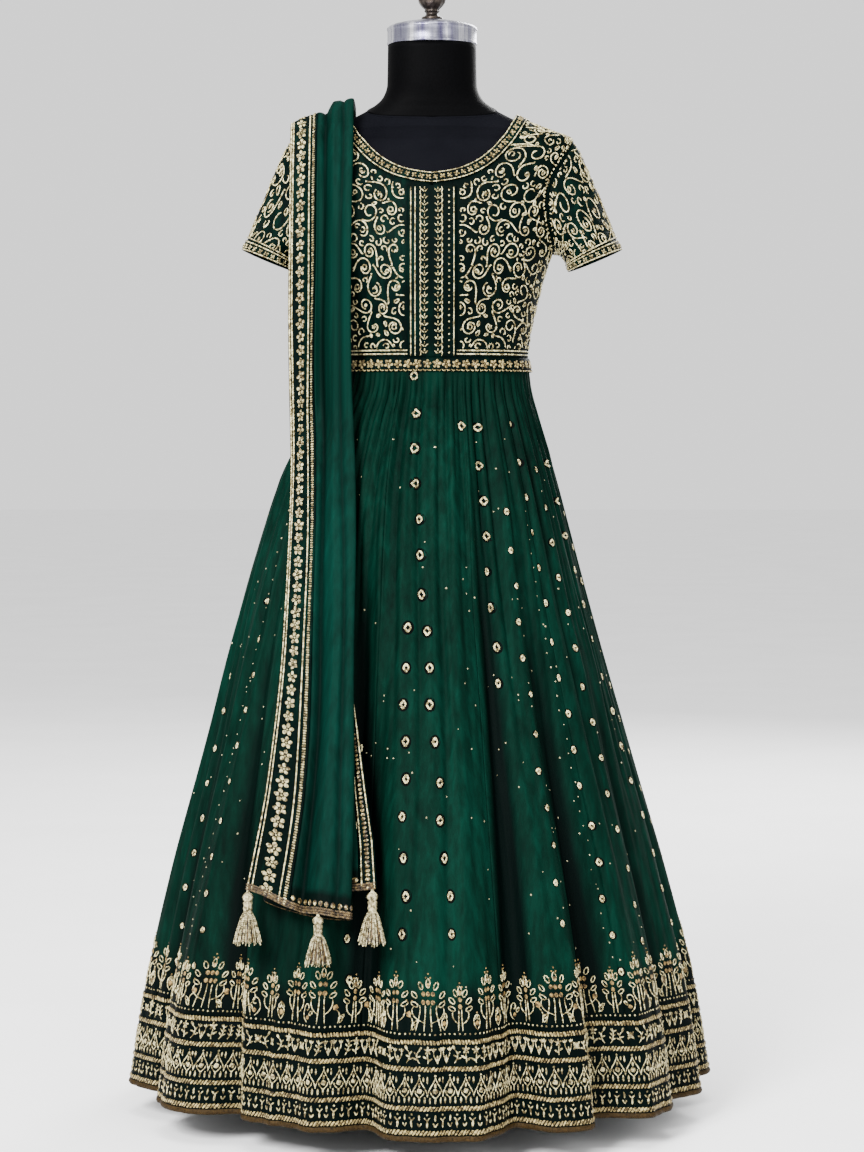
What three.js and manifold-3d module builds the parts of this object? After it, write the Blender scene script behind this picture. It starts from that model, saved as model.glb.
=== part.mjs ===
// A salwar suit on a dress form: a floor-length gathered gown with short sleeves,
// and a long scarf that hangs over one shoulder, on a limbless form with its stand.
// Millimetres, +Z up. X runs to the viewer's right and the front faces -Y.
// The origin is the middle of the flat underside of the stand's base.
// Angles round the body are in degrees from the middle front, towards +X.

import * as THREE from 'three';
import Module from 'manifold-3d';

const wasm = await Module();
wasm.setup();

// Walls and gaps
const GOWN_WALL = 1.6;
const TRIM_WALL = 1.4;
const SCARF_WALL = 1.2;
const SEAM_GAP = 0.3;
const FORM_EASE = 2.4;
const SHOULDER_EASE = 2;
const SHOULDER_POINT_EASE = 4.5;

// Heights of the gown
const HEM_Z = 40;
const BORDER_TOP_Z = 160;
const WAIST_SEAM_Z = 1006;
const WAISTBAND_LOW_Z = 998;
const WAISTBAND_FLARE = 4.6;
const WAISTBAND_HIGH_Z = 1016;
const FRONT_NECK_Z = 1260;
const BACK_NECK_Z = 1324;
const NECK_POINT_Z = 1342;

// Widths and lengths of the gown's parts
const NECK_HALF_WIDTH = 113;
const NECKBAND_WIDTH = 16;
const PLACKET_HALF_WIDTH = 32.5;
const UNDERARM_RISE = 158;
const SHOULDER_RISE = 316;
const ARMHOLE_TURN = 30;
const CUFF_HALF_WIDTH = 37;
const CUFF_HALF_DEPTH = 62;
const CUFF_TILT = 22;
const CUFF_CENTRE_X = 221;
const CUFF_CENTRE_Z = 1149;
const CUFF_BAND_SHARE = 0.86;

// Counts round the skirt
const KALI_COUNT = 12;
const COLUMNS_PER_KALI = 15;
const BORDER_COUNT = 6;
const GATHER_COUNT = 45;

// The dress form's stand and neck
const POLE_RADIUS = 16;
const BASE_RADIUS = 190;
const BASE_HEIGHT = 20;
const TORSO_LOW_Z = 780;
const NECK_SEAM_Z = 1355;
const NECK_SEAM_SLOPE = 0.36;
const CAP_LOW_Z = 1438;
const CAP_HEIGHT = 34;
const CAP_RADIUS = 60.5;
const FINIAL_HEIGHT = 51;

// The gown's outer face over the form. Rise is measured up the side from the waist.
const BODY = [
  { rise: -226, z: 780, half: 158, front: 104, back: 116 },
  { rise: -120, z: 880, half: 138, front: 98, back: 101 },
  { rise: -60, z: 940, half: 126, front: 94, back: 90 },
  { rise: 0, z: 1000, half: 129, front: 96, back: 86 },
  { rise: 45, z: 1045, half: 133, front: 104, back: 89 },
  { rise: 90, z: 1090, half: 143, front: 118, back: 95 },
  { rise: 134, z: 1133, half: 154, front: 126, back: 101 },
  { rise: 162, z: 1160, half: 163, front: 125, back: 104 },
  { rise: 205, z: 1203, half: 170, front: 114, back: 106 },
  { rise: 250, z: 1248, half: 178, front: 95, back: 102 },
  { rise: 290, z: 1287, half: 187, front: 74, back: 87 },
  { rise: 316, z: 1310, half: 190, front: 60, back: 71 },
  { rise: 345, z: 1323, half: 163, front: 58, back: 65 },
  { rise: 375, z: 1335, half: 132, front: 58, back: 62 },
  { rise: 400, z: 1345, half: 110, front: 58, back: 61 },
  { rise: 425, z: 1354, half: 90, front: 57, back: 60 },
  { rise: 446, z: 1362, half: 77, front: 57, back: 60 },
  { rise: 463, z: 1371, half: 69, front: 58, back: 60 },
  { rise: 480, z: 1385, half: 64.5, front: 60, back: 61 },
  { rise: 537, z: 1440, half: 63.5, front: 62, back: 62 },
];
const BODY_POWER = 2.3;

// The skirt's outer face before its folds are pressed in.
const SKIRT = [
  { z: 40, right: 384, left: 414, front: 404, back: 402 },
  { z: 153, right: 366, left: 396, front: 388, back: 388 },
  { z: 327, right: 322, left: 356, front: 346, back: 346 },
  { z: 501, right: 269, left: 308, front: 288, back: 290 },
  { z: 675, right: 218, left: 262, front: 228, back: 232 },
  { z: 849, right: 170, left: 206, front: 158, back: 158 },
  { z: 936, right: 144, left: 160, front: 119, back: 112 },
  { z: 980, right: 132, left: 133.5, front: 100, back: 91 },
  { z: 1006, right: 129.4, left: 129.4, front: 97, back: 86.3 },
];

// Deep folds of the skirt: where they are at the waist and at the hem, how fast they
// drift between the two, their half width and depth at the hem, and how far down they begin.
const FOLDS = [
  { top: 22, low: 18.5, drift: 1, half: 6.5, deep: 58, from: 0.02 },
  { top: 36, low: 39, drift: 1, half: 6, deep: 50, from: 0.2 },
  { top: 60, low: 62, drift: 1, half: 6, deep: 34, from: 0.42 },
  { top: 84, low: 80, drift: 1.4, half: 7, deep: 46, from: 0.12 },
  { top: 106, low: 103, drift: 1, half: 6, deep: 52, from: 0.3 },
  { top: 127, low: 131, drift: 1.5, half: 8, deep: 60, from: 0.06 },
  { top: 152, low: 150, drift: 1, half: 5.5, deep: 40, from: 0.36 },
  { top: 168, low: 174, drift: 1.2, half: 7.5, deep: 62, from: 0.04 },
  { top: 199, low: 196, drift: 1, half: 6, deep: 44, from: 0.26 },
  { top: 221, low: 219, drift: 1.3, half: 8, deep: 56, from: 0.1 },
  { top: 246, low: 243, drift: 1, half: 5.5, deep: 38, from: 0.4 },
  { top: 262, low: 268, drift: 1, half: 7, deep: 52, from: 0.16 },
  { top: 290, low: 291, drift: 1, half: 6, deep: 36, from: 0.34 },
  { top: 298, low: 316, drift: 1.2, half: 5.5, deep: 44, from: 0.3 },
  { top: 319, low: 346, drift: 2.7, half: 6, deep: 52, from: 0.05 },
  { top: 325, low: 329, drift: 1, half: 13, deep: 34, from: 0.45 },
];

// Fine gathers of the skirt: their depth at each share of the way down.
const GATHERS = [
  { down: 0, deep: 0 },
  { down: 0.012, deep: 0.4 },
  { down: 0.05, deep: 5.5 },
  { down: 0.16, deep: 8 },
  { down: 0.36, deep: 7 },
  { down: 0.6, deep: 6 },
  { down: 1, deep: 6.5 },
];
const SKIRT_ROWS = [0, 0.05, 0.16, 0.36, 0.6, 0.8758];

// The scarf's folded cross-section: share of the cloth from its wide border inwards,
// share of the way across the fall, and height above its lowest layer in fold heights.
const SCARF_SECTION = [
  { share: 0, across: 0, out: 0.98 },
  { share: 0.07, across: 0.14, out: 1.1 },
  { share: 0.14, across: 0.28, out: 1.12 },
  { share: 0.21, across: 0.42, out: 1.06 },
  { share: 0.26, across: 0.54, out: 0.78 },
  { share: 0.31, across: 0.63, out: 1.02 },
  { share: 0.36, across: 0.73, out: 1.3 },
  { share: 0.41, across: 0.85, out: 1.12 },
  { share: 0.45, across: 0.95, out: 0.98 },
  { share: 0.48, across: 1, out: 0.76 },
  { share: 0.51, across: 0.95, out: 0.54 },
  { share: 0.57, across: 0.76, out: 0.45 },
  { share: 0.64, across: 0.5, out: 0.4 },
  { share: 0.7, across: 0.26, out: 0.52 },
  { share: 0.73, across: 0.18, out: 0.44 },
  { share: 0.75, across: 0.16, out: 0.24 },
  { share: 0.78, across: 0.23, out: 0.02 },
  { share: 0.85, across: 0.5, out: 0 },
  { share: 0.92, across: 0.78, out: 0.02 },
  { share: 0.96, across: 0.93, out: 0.12 },
  { share: 1, across: 1.05, out: 0.3 },
];
const SCARF_DEVELOPED_WIDTH = 140;
const SCARF_BORDER_SHARE = 0.21;
const SCARF_EDGE_SHARE = 0.96;

// Where the scarf's two edges are on the way down from the shoulder, and its fold height.
const SCARF_FRONT = [
  { down: 0, outer: -189, inner: -104, height: 13, peek: -4 },
  { down: 0.2, outer: -191, inner: -106, height: 13, peek: -4 },
  { down: 0.45, outer: -188, inner: -102, height: 14, peek: 0 },
  { down: 0.65, outer: -194, inner: -99, height: 16, peek: 5 },
  { down: 0.85, outer: -212, inner: -97, height: 19, peek: 12 },
  { down: 1, outer: -238, inner: -98, height: 22, peek: 22 },
];
const SCARF_BACK = [
  { down: 0, outer: -189, inner: -104, height: 13, peek: -4 },
  { down: 0.25, outer: -186, inner: -98, height: 14, peek: -2 },
  { down: 0.5, outer: -192, inner: -93, height: 16, peek: 3 },
  { down: 0.75, outer: -206, inner: -90, height: 19, peek: 12 },
  { down: 1, outer: -230, inner: -86, height: 22, peek: 24 },
];
const SCARF_HEM = [
  { share: 0, front: 326, back: 338 },
  { share: 0.21, front: 316, back: 330 },
  { share: 0.48, front: 303, back: 312 },
  { share: 0.75, front: 322, back: 326 },
  { share: 1, front: 346, back: 352 },
];
const SCARF_EASE = 6.3;
const SCARF_TURN_DROP = 60;
const SCARF_FRONT_END = 0.42;
const SCARF_BACK_START = 0.58;
const SCARF_FRONT_ROWS = 10;
const SCARF_TURN_ROWS = 7;
const SCARF_BACK_ROWS = 8;

// Tassels: where each hangs on the scarf, its outline and its strands.
const TASSELS = [
  { name: 'tassel_front_outer', share: 0.012, end: 'front' },
  { name: 'tassel_front_middle', share: 0.34, end: 'front' },
  { name: 'tassel_front_inner', share: 0.99, end: 'front' },
  { name: 'tassel_back_outer', share: 0.012, end: 'back' },
  { name: 'tassel_back_middle', share: 0.34, end: 'back' },
  { name: 'tassel_back_inner', share: 0.99, end: 'back' },
];
const TASSEL_HEAD = [
  { drop: 0, radius: 1.6 },
  { drop: 3, radius: 2.2 },
  { drop: 6, radius: 5.4 },
  { drop: 10, radius: 6.6 },
  { drop: 14, radius: 5 },
  { drop: 16, radius: 4 },
  { drop: 19, radius: 6 },
];
const TASSEL_HEAD_SIDES = 8;
const TASSEL_LENGTH = 65;
const STRAND_RADIUS = 0.8;
const STRAND_RINGS = [
  { count: 10, root: 4.6, tip: 17 },
  { count: 3, root: 1.6, tip: 6.5 },
];

const degrees = (angle) => (angle * Math.PI) / 180;

// Reads one column of a table against another along a smooth curve with no overshoot.
function follow(rows, by, column, value) {
  const last = rows.length - 1;
  const slope = (i) => (rows[i + 1][column] - rows[i][column]) / (rows[i + 1][by] - rows[i][by]);
  const tangent = (i) => {
    if (i === 0) return slope(0);
    if (i === last) return slope(last - 1);
    const before = slope(i - 1);
    const after = slope(i);
    if (before * after <= 0) return 0;
    return (2 * before * after) / (before + after);
  };
  let i = 0;
  while (i < last - 1 && value > rows[i + 1][by]) i += 1;
  const span = rows[i + 1][by] - rows[i][by];
  const s = Math.min(1, Math.max(0, (value - rows[i][by]) / span));
  const start = rows[i][column];
  const end = rows[i + 1][column];
  return (
    start * (1 + 2 * s) * (1 - s) * (1 - s) +
    tangent(i) * span * s * (1 - s) * (1 - s) +
    end * s * s * (3 - 2 * s) +
    tangent(i + 1) * span * s * s * (s - 1)
  );
}

// A signed power, for rounded-square plan curves.
const bend = (value, power) => Math.sign(value) * Math.abs(value) ** (2 / power);

// A point of the gown's outer face over the form.
function bodyPoint(angle, rise) {
  const across = Math.sin(degrees(angle));
  const ahead = Math.cos(degrees(angle));
  const half = follow(BODY, 'rise', 'half', rise);
  const depth = follow(BODY, 'rise', ahead > 0 ? 'front' : 'back', rise);
  return new THREE.Vector3(
    half * bend(across, BODY_POWER),
    -depth * bend(ahead, BODY_POWER),
    follow(BODY, 'rise', 'z', rise),
  );
}

const riseAt = (z) => follow(BODY, 'z', 'rise', z);

// How far the folds and gathers press the skirt in at an angle and a share of the way down.
function pressedIn(angle, down) {
  let total = 0;
  for (const fold of FOLDS) {
    if (down <= fold.from) continue;
    const grown = ((down - fold.from) / (1 - fold.from)) ** 0.85;
    const centre = fold.top + (fold.low - fold.top) * (1 - (1 - down) ** fold.drift);
    const away = ((((angle - centre) % 360) + 540) % 360) - 180;
    const narrow = fold.half * (1.25 - 0.25 * down);
    total += fold.deep * grown * Math.exp(-((away / narrow) ** 2) * 1.4);
  }
  const turn = (angle / 360) * GATHER_COUNT;
  const uneven = 0.72 + 0.28 * Math.sin(Math.round(turn) * 2.4);
  const wave = 0.5 - 0.5 * Math.cos(2 * Math.PI * turn);
  return total + follow(GATHERS, 'down', 'deep', down) * uneven * wave;
}

// A point of the skirt's outer face, with or without its folds.
function skirtPoint(angle, down, folded = true) {
  const z = WAIST_SEAM_Z + (HEM_Z - WAIST_SEAM_Z) * down;
  const across = Math.sin(degrees(angle));
  const ahead = Math.cos(degrees(angle));
  const power = 2 + 0.3 * Math.max(0, 1 - down * 3);
  const half = follow(SKIRT, 'z', across > 0 ? 'right' : 'left', z);
  const depth = follow(SKIRT, 'z', ahead > 0 ? 'front' : 'back', z);
  const point = new THREE.Vector3(half * bend(across, power), -depth * bend(ahead, power), z);
  if (!folded) return point;
  const radius = Math.hypot(point.x, point.y);
  const kept = (radius - pressedIn(angle, down)) / radius;
  return new THREE.Vector3(point.x * kept, point.y * kept, z);
}

// The unit normal of a surface given by two parameters, towards its outer face.
function normalOf(surface, u, v, stepU, stepV) {
  const alongU = surface(u + stepU, v).sub(surface(u - stepU, v));
  const alongV = surface(u, v + stepV).sub(surface(u, v - stepV));
  return alongU.cross(alongV).normalize();
}

// Turns corner and triangle lists into a closed geometry with its faces outward.
function closedGeometry(corners, faces) {
  let volume = 0;
  for (const [a, b, c] of faces) {
    volume += corners[a].dot(corners[b].clone().cross(corners[c]));
  }
  const index = [];
  for (const [a, b, c] of faces) {
    if (volume > 0) index.push(a, b, c);
    else index.push(a, c, b);
  }
  const geometry = new THREE.BufferGeometry();
  const flat = corners.flatMap((corner) => [corner.x, corner.y, corner.z]);
  geometry.setAttribute('position', new THREE.Float32BufferAttribute(flat, 3));
  geometry.setIndex(index);
  geometry.computeVertexNormals();
  return geometry;
}

// A cloth wall from a grid of points on its outer face and the matching inward offsets.
function wallFromGrid(outer, inner, closed = false) {
  const rows = outer.length;
  const columns = outer[0].length;
  const corners = [...outer.flat(), ...inner.flat()];
  const under = rows * columns;
  const at = (row, column) => row * columns + (column % columns);
  const faces = [];
  const gap = (a, b) => corners[a % under].distanceTo(corners[b % under]);
  const quad = (a, b, c, d) => {
    if (gap(a, c) < gap(b, d)) faces.push([a, b, c], [a, c, d]);
    else faces.push([a, b, d], [b, c, d]);
  };
  const spans = closed ? columns : columns - 1;
  for (let row = 0; row < rows - 1; row += 1) {
    for (let column = 0; column < spans; column += 1) {
      const a = at(row, column);
      const b = at(row, column + 1);
      const c = at(row + 1, column + 1);
      const d = at(row + 1, column);
      quad(a, b, c, d);
      quad(under + a, under + d, under + c, under + b);
    }
  }
  for (let column = 0; column < spans; column += 1) {
    const a = at(0, column);
    const b = at(0, column + 1);
    quad(a, under + a, under + b, b);
    const c = at(rows - 1, column);
    const d = at(rows - 1, column + 1);
    quad(c, d, under + d, under + c);
  }
  if (!closed) {
    for (let row = 0; row < rows - 1; row += 1) {
      const a = at(row, 0);
      const b = at(row + 1, 0);
      quad(a, b, under + b, under + a);
      const c = at(row, columns - 1);
      const d = at(row + 1, columns - 1);
      quad(c, under + c, under + d, d);
    }
  }
  return closedGeometry(corners, faces);
}

// A cloth wall over part of a surface. Lift moves the whole wall out from the surface.
function clothWall(surface, us, vs, wall, options = {}) {
  const { lift = 0, closed = false, stepU = 0.05, stepV = 0.5, flip = false } = options;
  const outer = [];
  const inner = [];
  for (const v of vs) {
    const outerRow = [];
    const innerRow = [];
    for (const u of us) {
      const normal = normalOf(surface, u, v, stepU, stepV);
      if (flip) normal.negate();
      const point = surface(u, v);
      outerRow.push(point.clone().addScaledVector(normal, lift + (lift > 0 ? wall : 0)));
      innerRow.push(point.clone().addScaledVector(normal, lift > 0 ? lift : -wall));
    }
    outer.push(outerRow);
    inner.push(innerRow);
  }
  return wallFromGrid(outer, inner, closed);
}

// A solid through closed rings, with a flat end at each.
function solidThroughRings(rings) {
  const sides = rings[0].length;
  const corners = rings.flat();
  const faces = [];
  for (let row = 0; row < rings.length - 1; row += 1) {
    for (let side = 0; side < sides; side += 1) {
      const a = row * sides + side;
      const b = row * sides + ((side + 1) % sides);
      faces.push([a, b, b + sides], [a, b + sides, a + sides]);
    }
  }
  for (const [row, turned] of [[0, true], [rings.length - 1, false]]) {
    const first = row * sides;
    if (sides === 3) {
      faces.push(turned ? [first, first + 2, first + 1] : [first, first + 1, first + 2]);
      continue;
    }
    const centre = corners.length;
    const middle = new THREE.Vector3();
    for (const corner of rings[row]) middle.addScaledVector(corner, 1 / sides);
    corners.push(middle);
    for (let side = 0; side < sides; side += 1) {
      const a = row * sides + side;
      const b = row * sides + ((side + 1) % sides);
      faces.push(turned ? [centre, b, a] : [centre, a, b]);
    }
  }
  return closedGeometry(corners, faces);
}

// A turned solid from heights and radii on the Z axis.
function turned(outline, sides) {
  const rings = outline.map(({ z, radius }) => {
    const ring = [];
    for (let side = 0; side < sides; side += 1) {
      const angle = (2 * Math.PI * side) / sides;
      ring.push(new THREE.Vector3(radius * Math.cos(angle), radius * Math.sin(angle), z));
    }
    return ring;
  });
  return solidThroughRings(rings);
}

const spread = (from, to, steps) => {
  const values = [];
  for (let i = 0; i <= steps; i += 1) values.push(from + ((to - from) * i) / steps);
  return values;
};

const paint = (colour, roughness, metalness = 0) =>
  new THREE.MeshStandardMaterial({ color: colour, roughness, metalness });

const GOWN_GREEN = paint('rgb(4, 76, 58)', 0.55);
const EMBROIDERED = paint('rgb(58, 66, 48)', 0.7);
const ZARI = paint('rgb(176, 150, 92)', 0.5, 0.35);
const SCARF_GREEN = paint('rgb(2, 86, 70)', 0.6);
const TASSEL_CREAM = paint('rgb(222, 206, 160)', 0.7);
const FORM_BLACK = paint('rgb(20, 20, 24)', 0.85);
const NECK_BLACK = paint('rgb(12, 12, 14)', 0.5);
const CHROME = paint('rgb(196, 200, 206)', 0.18, 1);
const BRONZE = paint('rgb(46, 36, 30)', 0.35, 0.9);
const STAND_BLACK = paint('rgb(24, 24, 26)', 0.4, 0.6);

const suit = new THREE.Group();
suit.name = 'salwar_suit_on_dress_form';

function add(name, geometry, material) {
  const mesh = new THREE.Mesh(geometry, material);
  mesh.name = name;
  suit.add(mesh);
}

// Dress form: torso, neck, cap, finial, pole and base. The neck's seam is a tilted plane.
const TORSO_SIDES = 32;
const insetAt = (rise) => {
  const overShoulder = Math.min(1, Math.max(0, (rise - 255) / 45), Math.max(0, (440 - rise) / 40));
  const atPoint = Math.max(0, 1 - Math.abs(rise - SHOULDER_RISE) / 36);
  return GOWN_WALL + FORM_EASE + SHOULDER_EASE * overShoulder + SHOULDER_POINT_EASE * atPoint;
};

function formPoint(angle, rise) {
  const normal = normalOf(bodyPoint, angle, rise, 0.5, 1);
  return bodyPoint(angle, rise).addScaledVector(normal, -insetAt(rise));
}

// The rise at which the form meets the neck seam's plane at an angle.
function seamRise(angle, offset) {
  let low = 320;
  let high = 500;
  for (let i = 0; i < 30; i += 1) {
    const middle = (low + high) / 2;
    const point = formPoint(angle, middle);
    if (point.z < NECK_SEAM_Z + offset + NECK_SEAM_SLOPE * point.y) low = middle;
    else high = middle;
  }
  return low;
}

function formRing(riseOf) {
  const ring = [];
  for (let side = 0; side < TORSO_SIDES; side += 1) {
    const angle = (360 * (side + 0.5)) / TORSO_SIDES;
    ring.push(formPoint(angle, riseOf(angle)));
  }
  return ring;
}

const TORSO_RISES = [-226, -150, -90, -45, 0, 48, 90, 134, 164, 205, 250, 285, 306, 318];
const torsoRings = TORSO_RISES.map((rise) => formRing(() => rise));
const torsoTop = TORSO_RISES[TORSO_RISES.length - 1];
for (const share of [0.25, 0.5, 0.76, 1]) {
  torsoRings.push(formRing((angle) => torsoTop + (seamRise(angle, 0) - torsoTop) * share));
}
for (const point of torsoRings[0]) point.setZ(TORSO_LOW_Z);
add('form_torso', solidThroughRings(torsoRings), FORM_BLACK);

const neckTop = riseAt(CAP_LOW_Z - SEAM_GAP);
const neckRings = [0, 0.25, 0.6, 1].map((share) =>
  formRing((angle) => {
    const low = seamRise(angle, SEAM_GAP * 1.2);
    return low + (neckTop - low) * share;
  }),
);
for (const point of neckRings[neckRings.length - 1]) point.setZ(CAP_LOW_Z - SEAM_GAP);
add('form_neck', solidThroughRings(neckRings), NECK_BLACK);
const capTop = CAP_LOW_Z + CAP_HEIGHT;
add(
  'form_cap',
  turned(
    [
      { z: CAP_LOW_Z, radius: CAP_RADIUS },
      { z: CAP_LOW_Z + 22, radius: CAP_RADIUS },
      { z: CAP_LOW_Z + 27, radius: CAP_RADIUS - 4 },
      { z: CAP_LOW_Z + 31, radius: CAP_RADIUS - 24 },
      { z: capTop, radius: 16 },
    ],
    36,
  ),
  CHROME,
);
const finialOutline = [
  { up: 0, radius: 14 },
  { up: 4, radius: 14 },
  { up: 7, radius: 9 },
  { up: 14, radius: 10 },
  { up: 19, radius: 15.5 },
  { up: 26, radius: 18.6 },
  { up: 33, radius: 19 },
  { up: 40, radius: 16.5 },
  { up: 46, radius: 11.5 },
  { up: FINIAL_HEIGHT, radius: 4 },
];
add(
  'form_finial',
  turned(finialOutline.map(({ up, radius }) => ({ z: capTop + SEAM_GAP + up, radius })), 16),
  BRONZE,
);
const torsoFoot = TORSO_LOW_Z;
add(
  'form_pole',
  turned(
    [
      { z: BASE_HEIGHT + SEAM_GAP, radius: POLE_RADIUS },
      { z: torsoFoot - 30, radius: POLE_RADIUS },
      { z: torsoFoot - 24, radius: POLE_RADIUS * 2 },
      { z: torsoFoot - SEAM_GAP, radius: POLE_RADIUS * 2 },
    ],
    16,
  ),
  STAND_BLACK,
);
add(
  'form_base',
  turned(
    [
      { z: 0, radius: BASE_RADIUS - 3 },
      { z: 3, radius: BASE_RADIUS },
      { z: 7, radius: BASE_RADIUS },
      { z: 11, radius: BASE_RADIUS - 12 },
      { z: BASE_HEIGHT, radius: 40 },
    ],
    36,
  ),
  STAND_BLACK,
);

// Bodice: two fronts that meet at the middle, and one back
const neckHeight = (x, low) =>
  low + (NECK_POINT_Z - low) * Math.min(1, Math.abs(x) / NECK_HALF_WIDTH) ** 2.6;
const neckRise = riseAt(NECK_POINT_Z);

// The neckline as angle and rise, from the middle (0) to the neck point (1).
function necklineAt(along, low) {
  const x = NECK_HALF_WIDTH * along;
  const z = neckHeight(x, low);
  const half = follow(BODY, 'z', 'half', z);
  const sine = Math.min(1, (x / half) ** (BODY_POWER / 2));
  const reached = along > 0.999 ? 90 : (Math.asin(sine) * 180) / Math.PI;
  return [reached, riseAt(z)];
}

// The armhole as angle away from the side and rise, from the underarm (0) to the shoulder (1).
function armholeAt(along) {
  const turn = ARMHOLE_TURN * Math.sin(Math.PI * Math.min(1, Math.max(0, along))) ** 0.62;
  return [90 - turn, UNDERARM_RISE + (SHOULDER_RISE - UNDERARM_RISE) * along];
}

const NECK_COLUMNS = 9;
const SIDE_ROWS = 4;
const ARMHOLE_ROWS = 7;
const SHOULDER_ROWS = 3;
const NECK_CROWDING = 1.8;
const waistRise = riseAt(WAIST_SEAM_Z + SEAM_GAP);
const edgeRows = SIDE_ROWS + ARMHOLE_ROWS + SHOULDER_ROWS;
const underarmShare = SIDE_ROWS / edgeRows;
const shoulderShare = (SIDE_ROWS + ARMHOLE_ROWS) / edgeRows;

// The panel's angle and rise from its four edges: waist, middle, neckline, and
// the side with the armhole and the shoulder above it.
function panelAt(across, up, low) {
  const topEdge = (share) => necklineAt(1 - (1 - share) ** NECK_CROWDING, low);
  const sideEdge = (share) => {
    if (share <= underarmShare) {
      return [90, waistRise + ((UNDERARM_RISE - waistRise) * share) / underarmShare];
    }
    if (share <= shoulderShare) {
      return armholeAt((share - underarmShare) / (shoulderShare - underarmShare));
    }
    const along = (share - shoulderShare) / (1 - shoulderShare);
    return [90, SHOULDER_RISE + (neckRise - SHOULDER_RISE) * along];
  };
  const middle = necklineAt(0, low);
  const neckPoint = [90, neckRise];
  const bottomEdge = (share) => [90 * share, waistRise];
  const middleEdge = (share) => [0, waistRise + (middle[1] - waistRise) * share];
  return [0, 1].map((axis) => {
    const ruled =
      (1 - up) * bottomEdge(across)[axis] +
      up * topEdge(across)[axis] +
      (1 - across) * middleEdge(up)[axis] +
      across * sideEdge(up)[axis];
    const corners =
      (1 - across) * (1 - up) * bottomEdge(0)[axis] +
      across * (1 - up) * bottomEdge(1)[axis] +
      (1 - across) * up * middle[axis] +
      across * up * neckPoint[axis];
    return ruled - corners;
  });
}

// Half of the seam gap as an angle, so that two panels end a gap apart.
function seamAngle(angle, rise) {
  const step = 0.2;
  const length = bodyPoint(angle + step, rise).distanceTo(bodyPoint(angle - step, rise)) / (2 * step);
  return SEAM_GAP / 2 / length;
}

function bodiceGrid(side, isBack) {
  const low = isBack ? BACK_NECK_Z : FRONT_NECK_Z;
  const columns = spread(0, 1, NECK_COLUMNS);
  const rows = spread(0, 1, edgeRows);
  const outer = [];
  const inner = [];
  for (const up of rows) {
    const outerRow = [];
    const innerRow = [];
    for (const across of columns) {
      const [angle, rise] = panelAt(across, up, low);
      const slack = seamAngle(Math.min(89, Math.max(1, angle)), rise);
      const floor = isBack ? 0 : slack;
      const held = Math.min(90 - slack, Math.max(floor, angle));
      const around = isBack ? side * (180 - held) : side * held;
      const normal = normalOf(bodyPoint, around, rise, 0.3, 1);
      const point = bodyPoint(around, rise);
      outerRow.push(point);
      innerRow.push(point.clone().addScaledVector(normal, -GOWN_WALL));
    }
    outer.push(outerRow);
    inner.push(innerRow);
  }
  return [outer, inner];
}

for (const [name, side] of [['left', -1], ['right', 1]]) {
  const [outer, inner] = bodiceGrid(side, false);
  add(`bodice_front_${name}`, wallFromGrid(outer, inner), EMBROIDERED);
}
{
  const [outerRight, innerRight] = bodiceGrid(1, true);
  const [outerLeft, innerLeft] = bodiceGrid(-1, true);
  const join = (right, left) => right.map((row, i) => [...row.slice(1).reverse(), ...left[i]]);
  add('bodice_back', wallFromGrid(join(outerRight, outerLeft), join(innerRight, innerLeft)), EMBROIDERED);
}

// Steps along the body's face from a place on it, in a direction, for a distance.
function walk(angle, rise, direction, distance) {
  const stepAngle = 0.3;
  const stepRise = 0.5;
  const place = [angle, rise];
  const strides = 4;
  for (let i = 0; i < strides; i += 1) {
    const [a, r] = place;
    const alongAngle = bodyPoint(a + stepAngle, r).sub(bodyPoint(a - stepAngle, r));
    alongAngle.divideScalar(2 * stepAngle);
    const alongRise = bodyPoint(a, r + stepRise).sub(bodyPoint(a, r - stepRise));
    alongRise.divideScalar(2 * stepRise);
    const aa = alongAngle.dot(alongAngle);
    const ar = alongAngle.dot(alongRise);
    const rr = alongRise.dot(alongRise);
    const da = alongAngle.dot(direction);
    const dr = alongRise.dot(direction);
    const scale = distance / strides / (aa * rr - ar * ar);
    place[0] += (da * rr - dr * ar) * scale;
    place[1] += (dr * aa - da * ar) * scale;
  }
  return place;
}

// The neckline right round, as turns from the middle front towards +X.
function necklineRound(turns) {
  const wrapped = ((turns % 1) + 1) % 1;
  const side = wrapped <= 0.5 ? 1 : -1;
  const half = wrapped <= 0.5 ? wrapped * 2 : (1 - wrapped) * 2;
  const isBack = half > 0.5;
  const along = isBack ? (1 - half) * 2 : half * 2;
  const crowded = 1 - (1 - along) ** NECK_CROWDING;
  const [angle, rise] = necklineAt(crowded, isBack ? BACK_NECK_Z : FRONT_NECK_Z);
  return [side * (isBack ? 180 - angle : angle), rise];
}

function neckbandPoint(turns, share) {
  const [angle, rise] = necklineRound(turns);
  const step = 0.012;
  const ahead = bodyPoint(...necklineRound(turns + step));
  const behind = bodyPoint(...necklineRound(turns - step));
  const tangent = ahead.sub(behind).normalize();
  const normal = normalOf(bodyPoint, angle, rise, 0.5, 1);
  const outward = normal.clone().cross(tangent).normalize();
  if (outward.z > 0) outward.negate();
  const [a, r] = walk(angle, rise, outward, NECKBAND_WIDTH * share);
  return bodyPoint(a, r);
}
const NECKBAND_STEPS = 44;
add(
  'neckband',
  clothWall(neckbandPoint, spread(0, 1, NECKBAND_STEPS).slice(0, -1), [0, 1], TRIM_WALL, {
    lift: SEAM_GAP * 4,
    closed: true,
    stepU: 0.004,
    stepV: 0.05,
    flip: true,
  }),
  ZARI,
);

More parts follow.
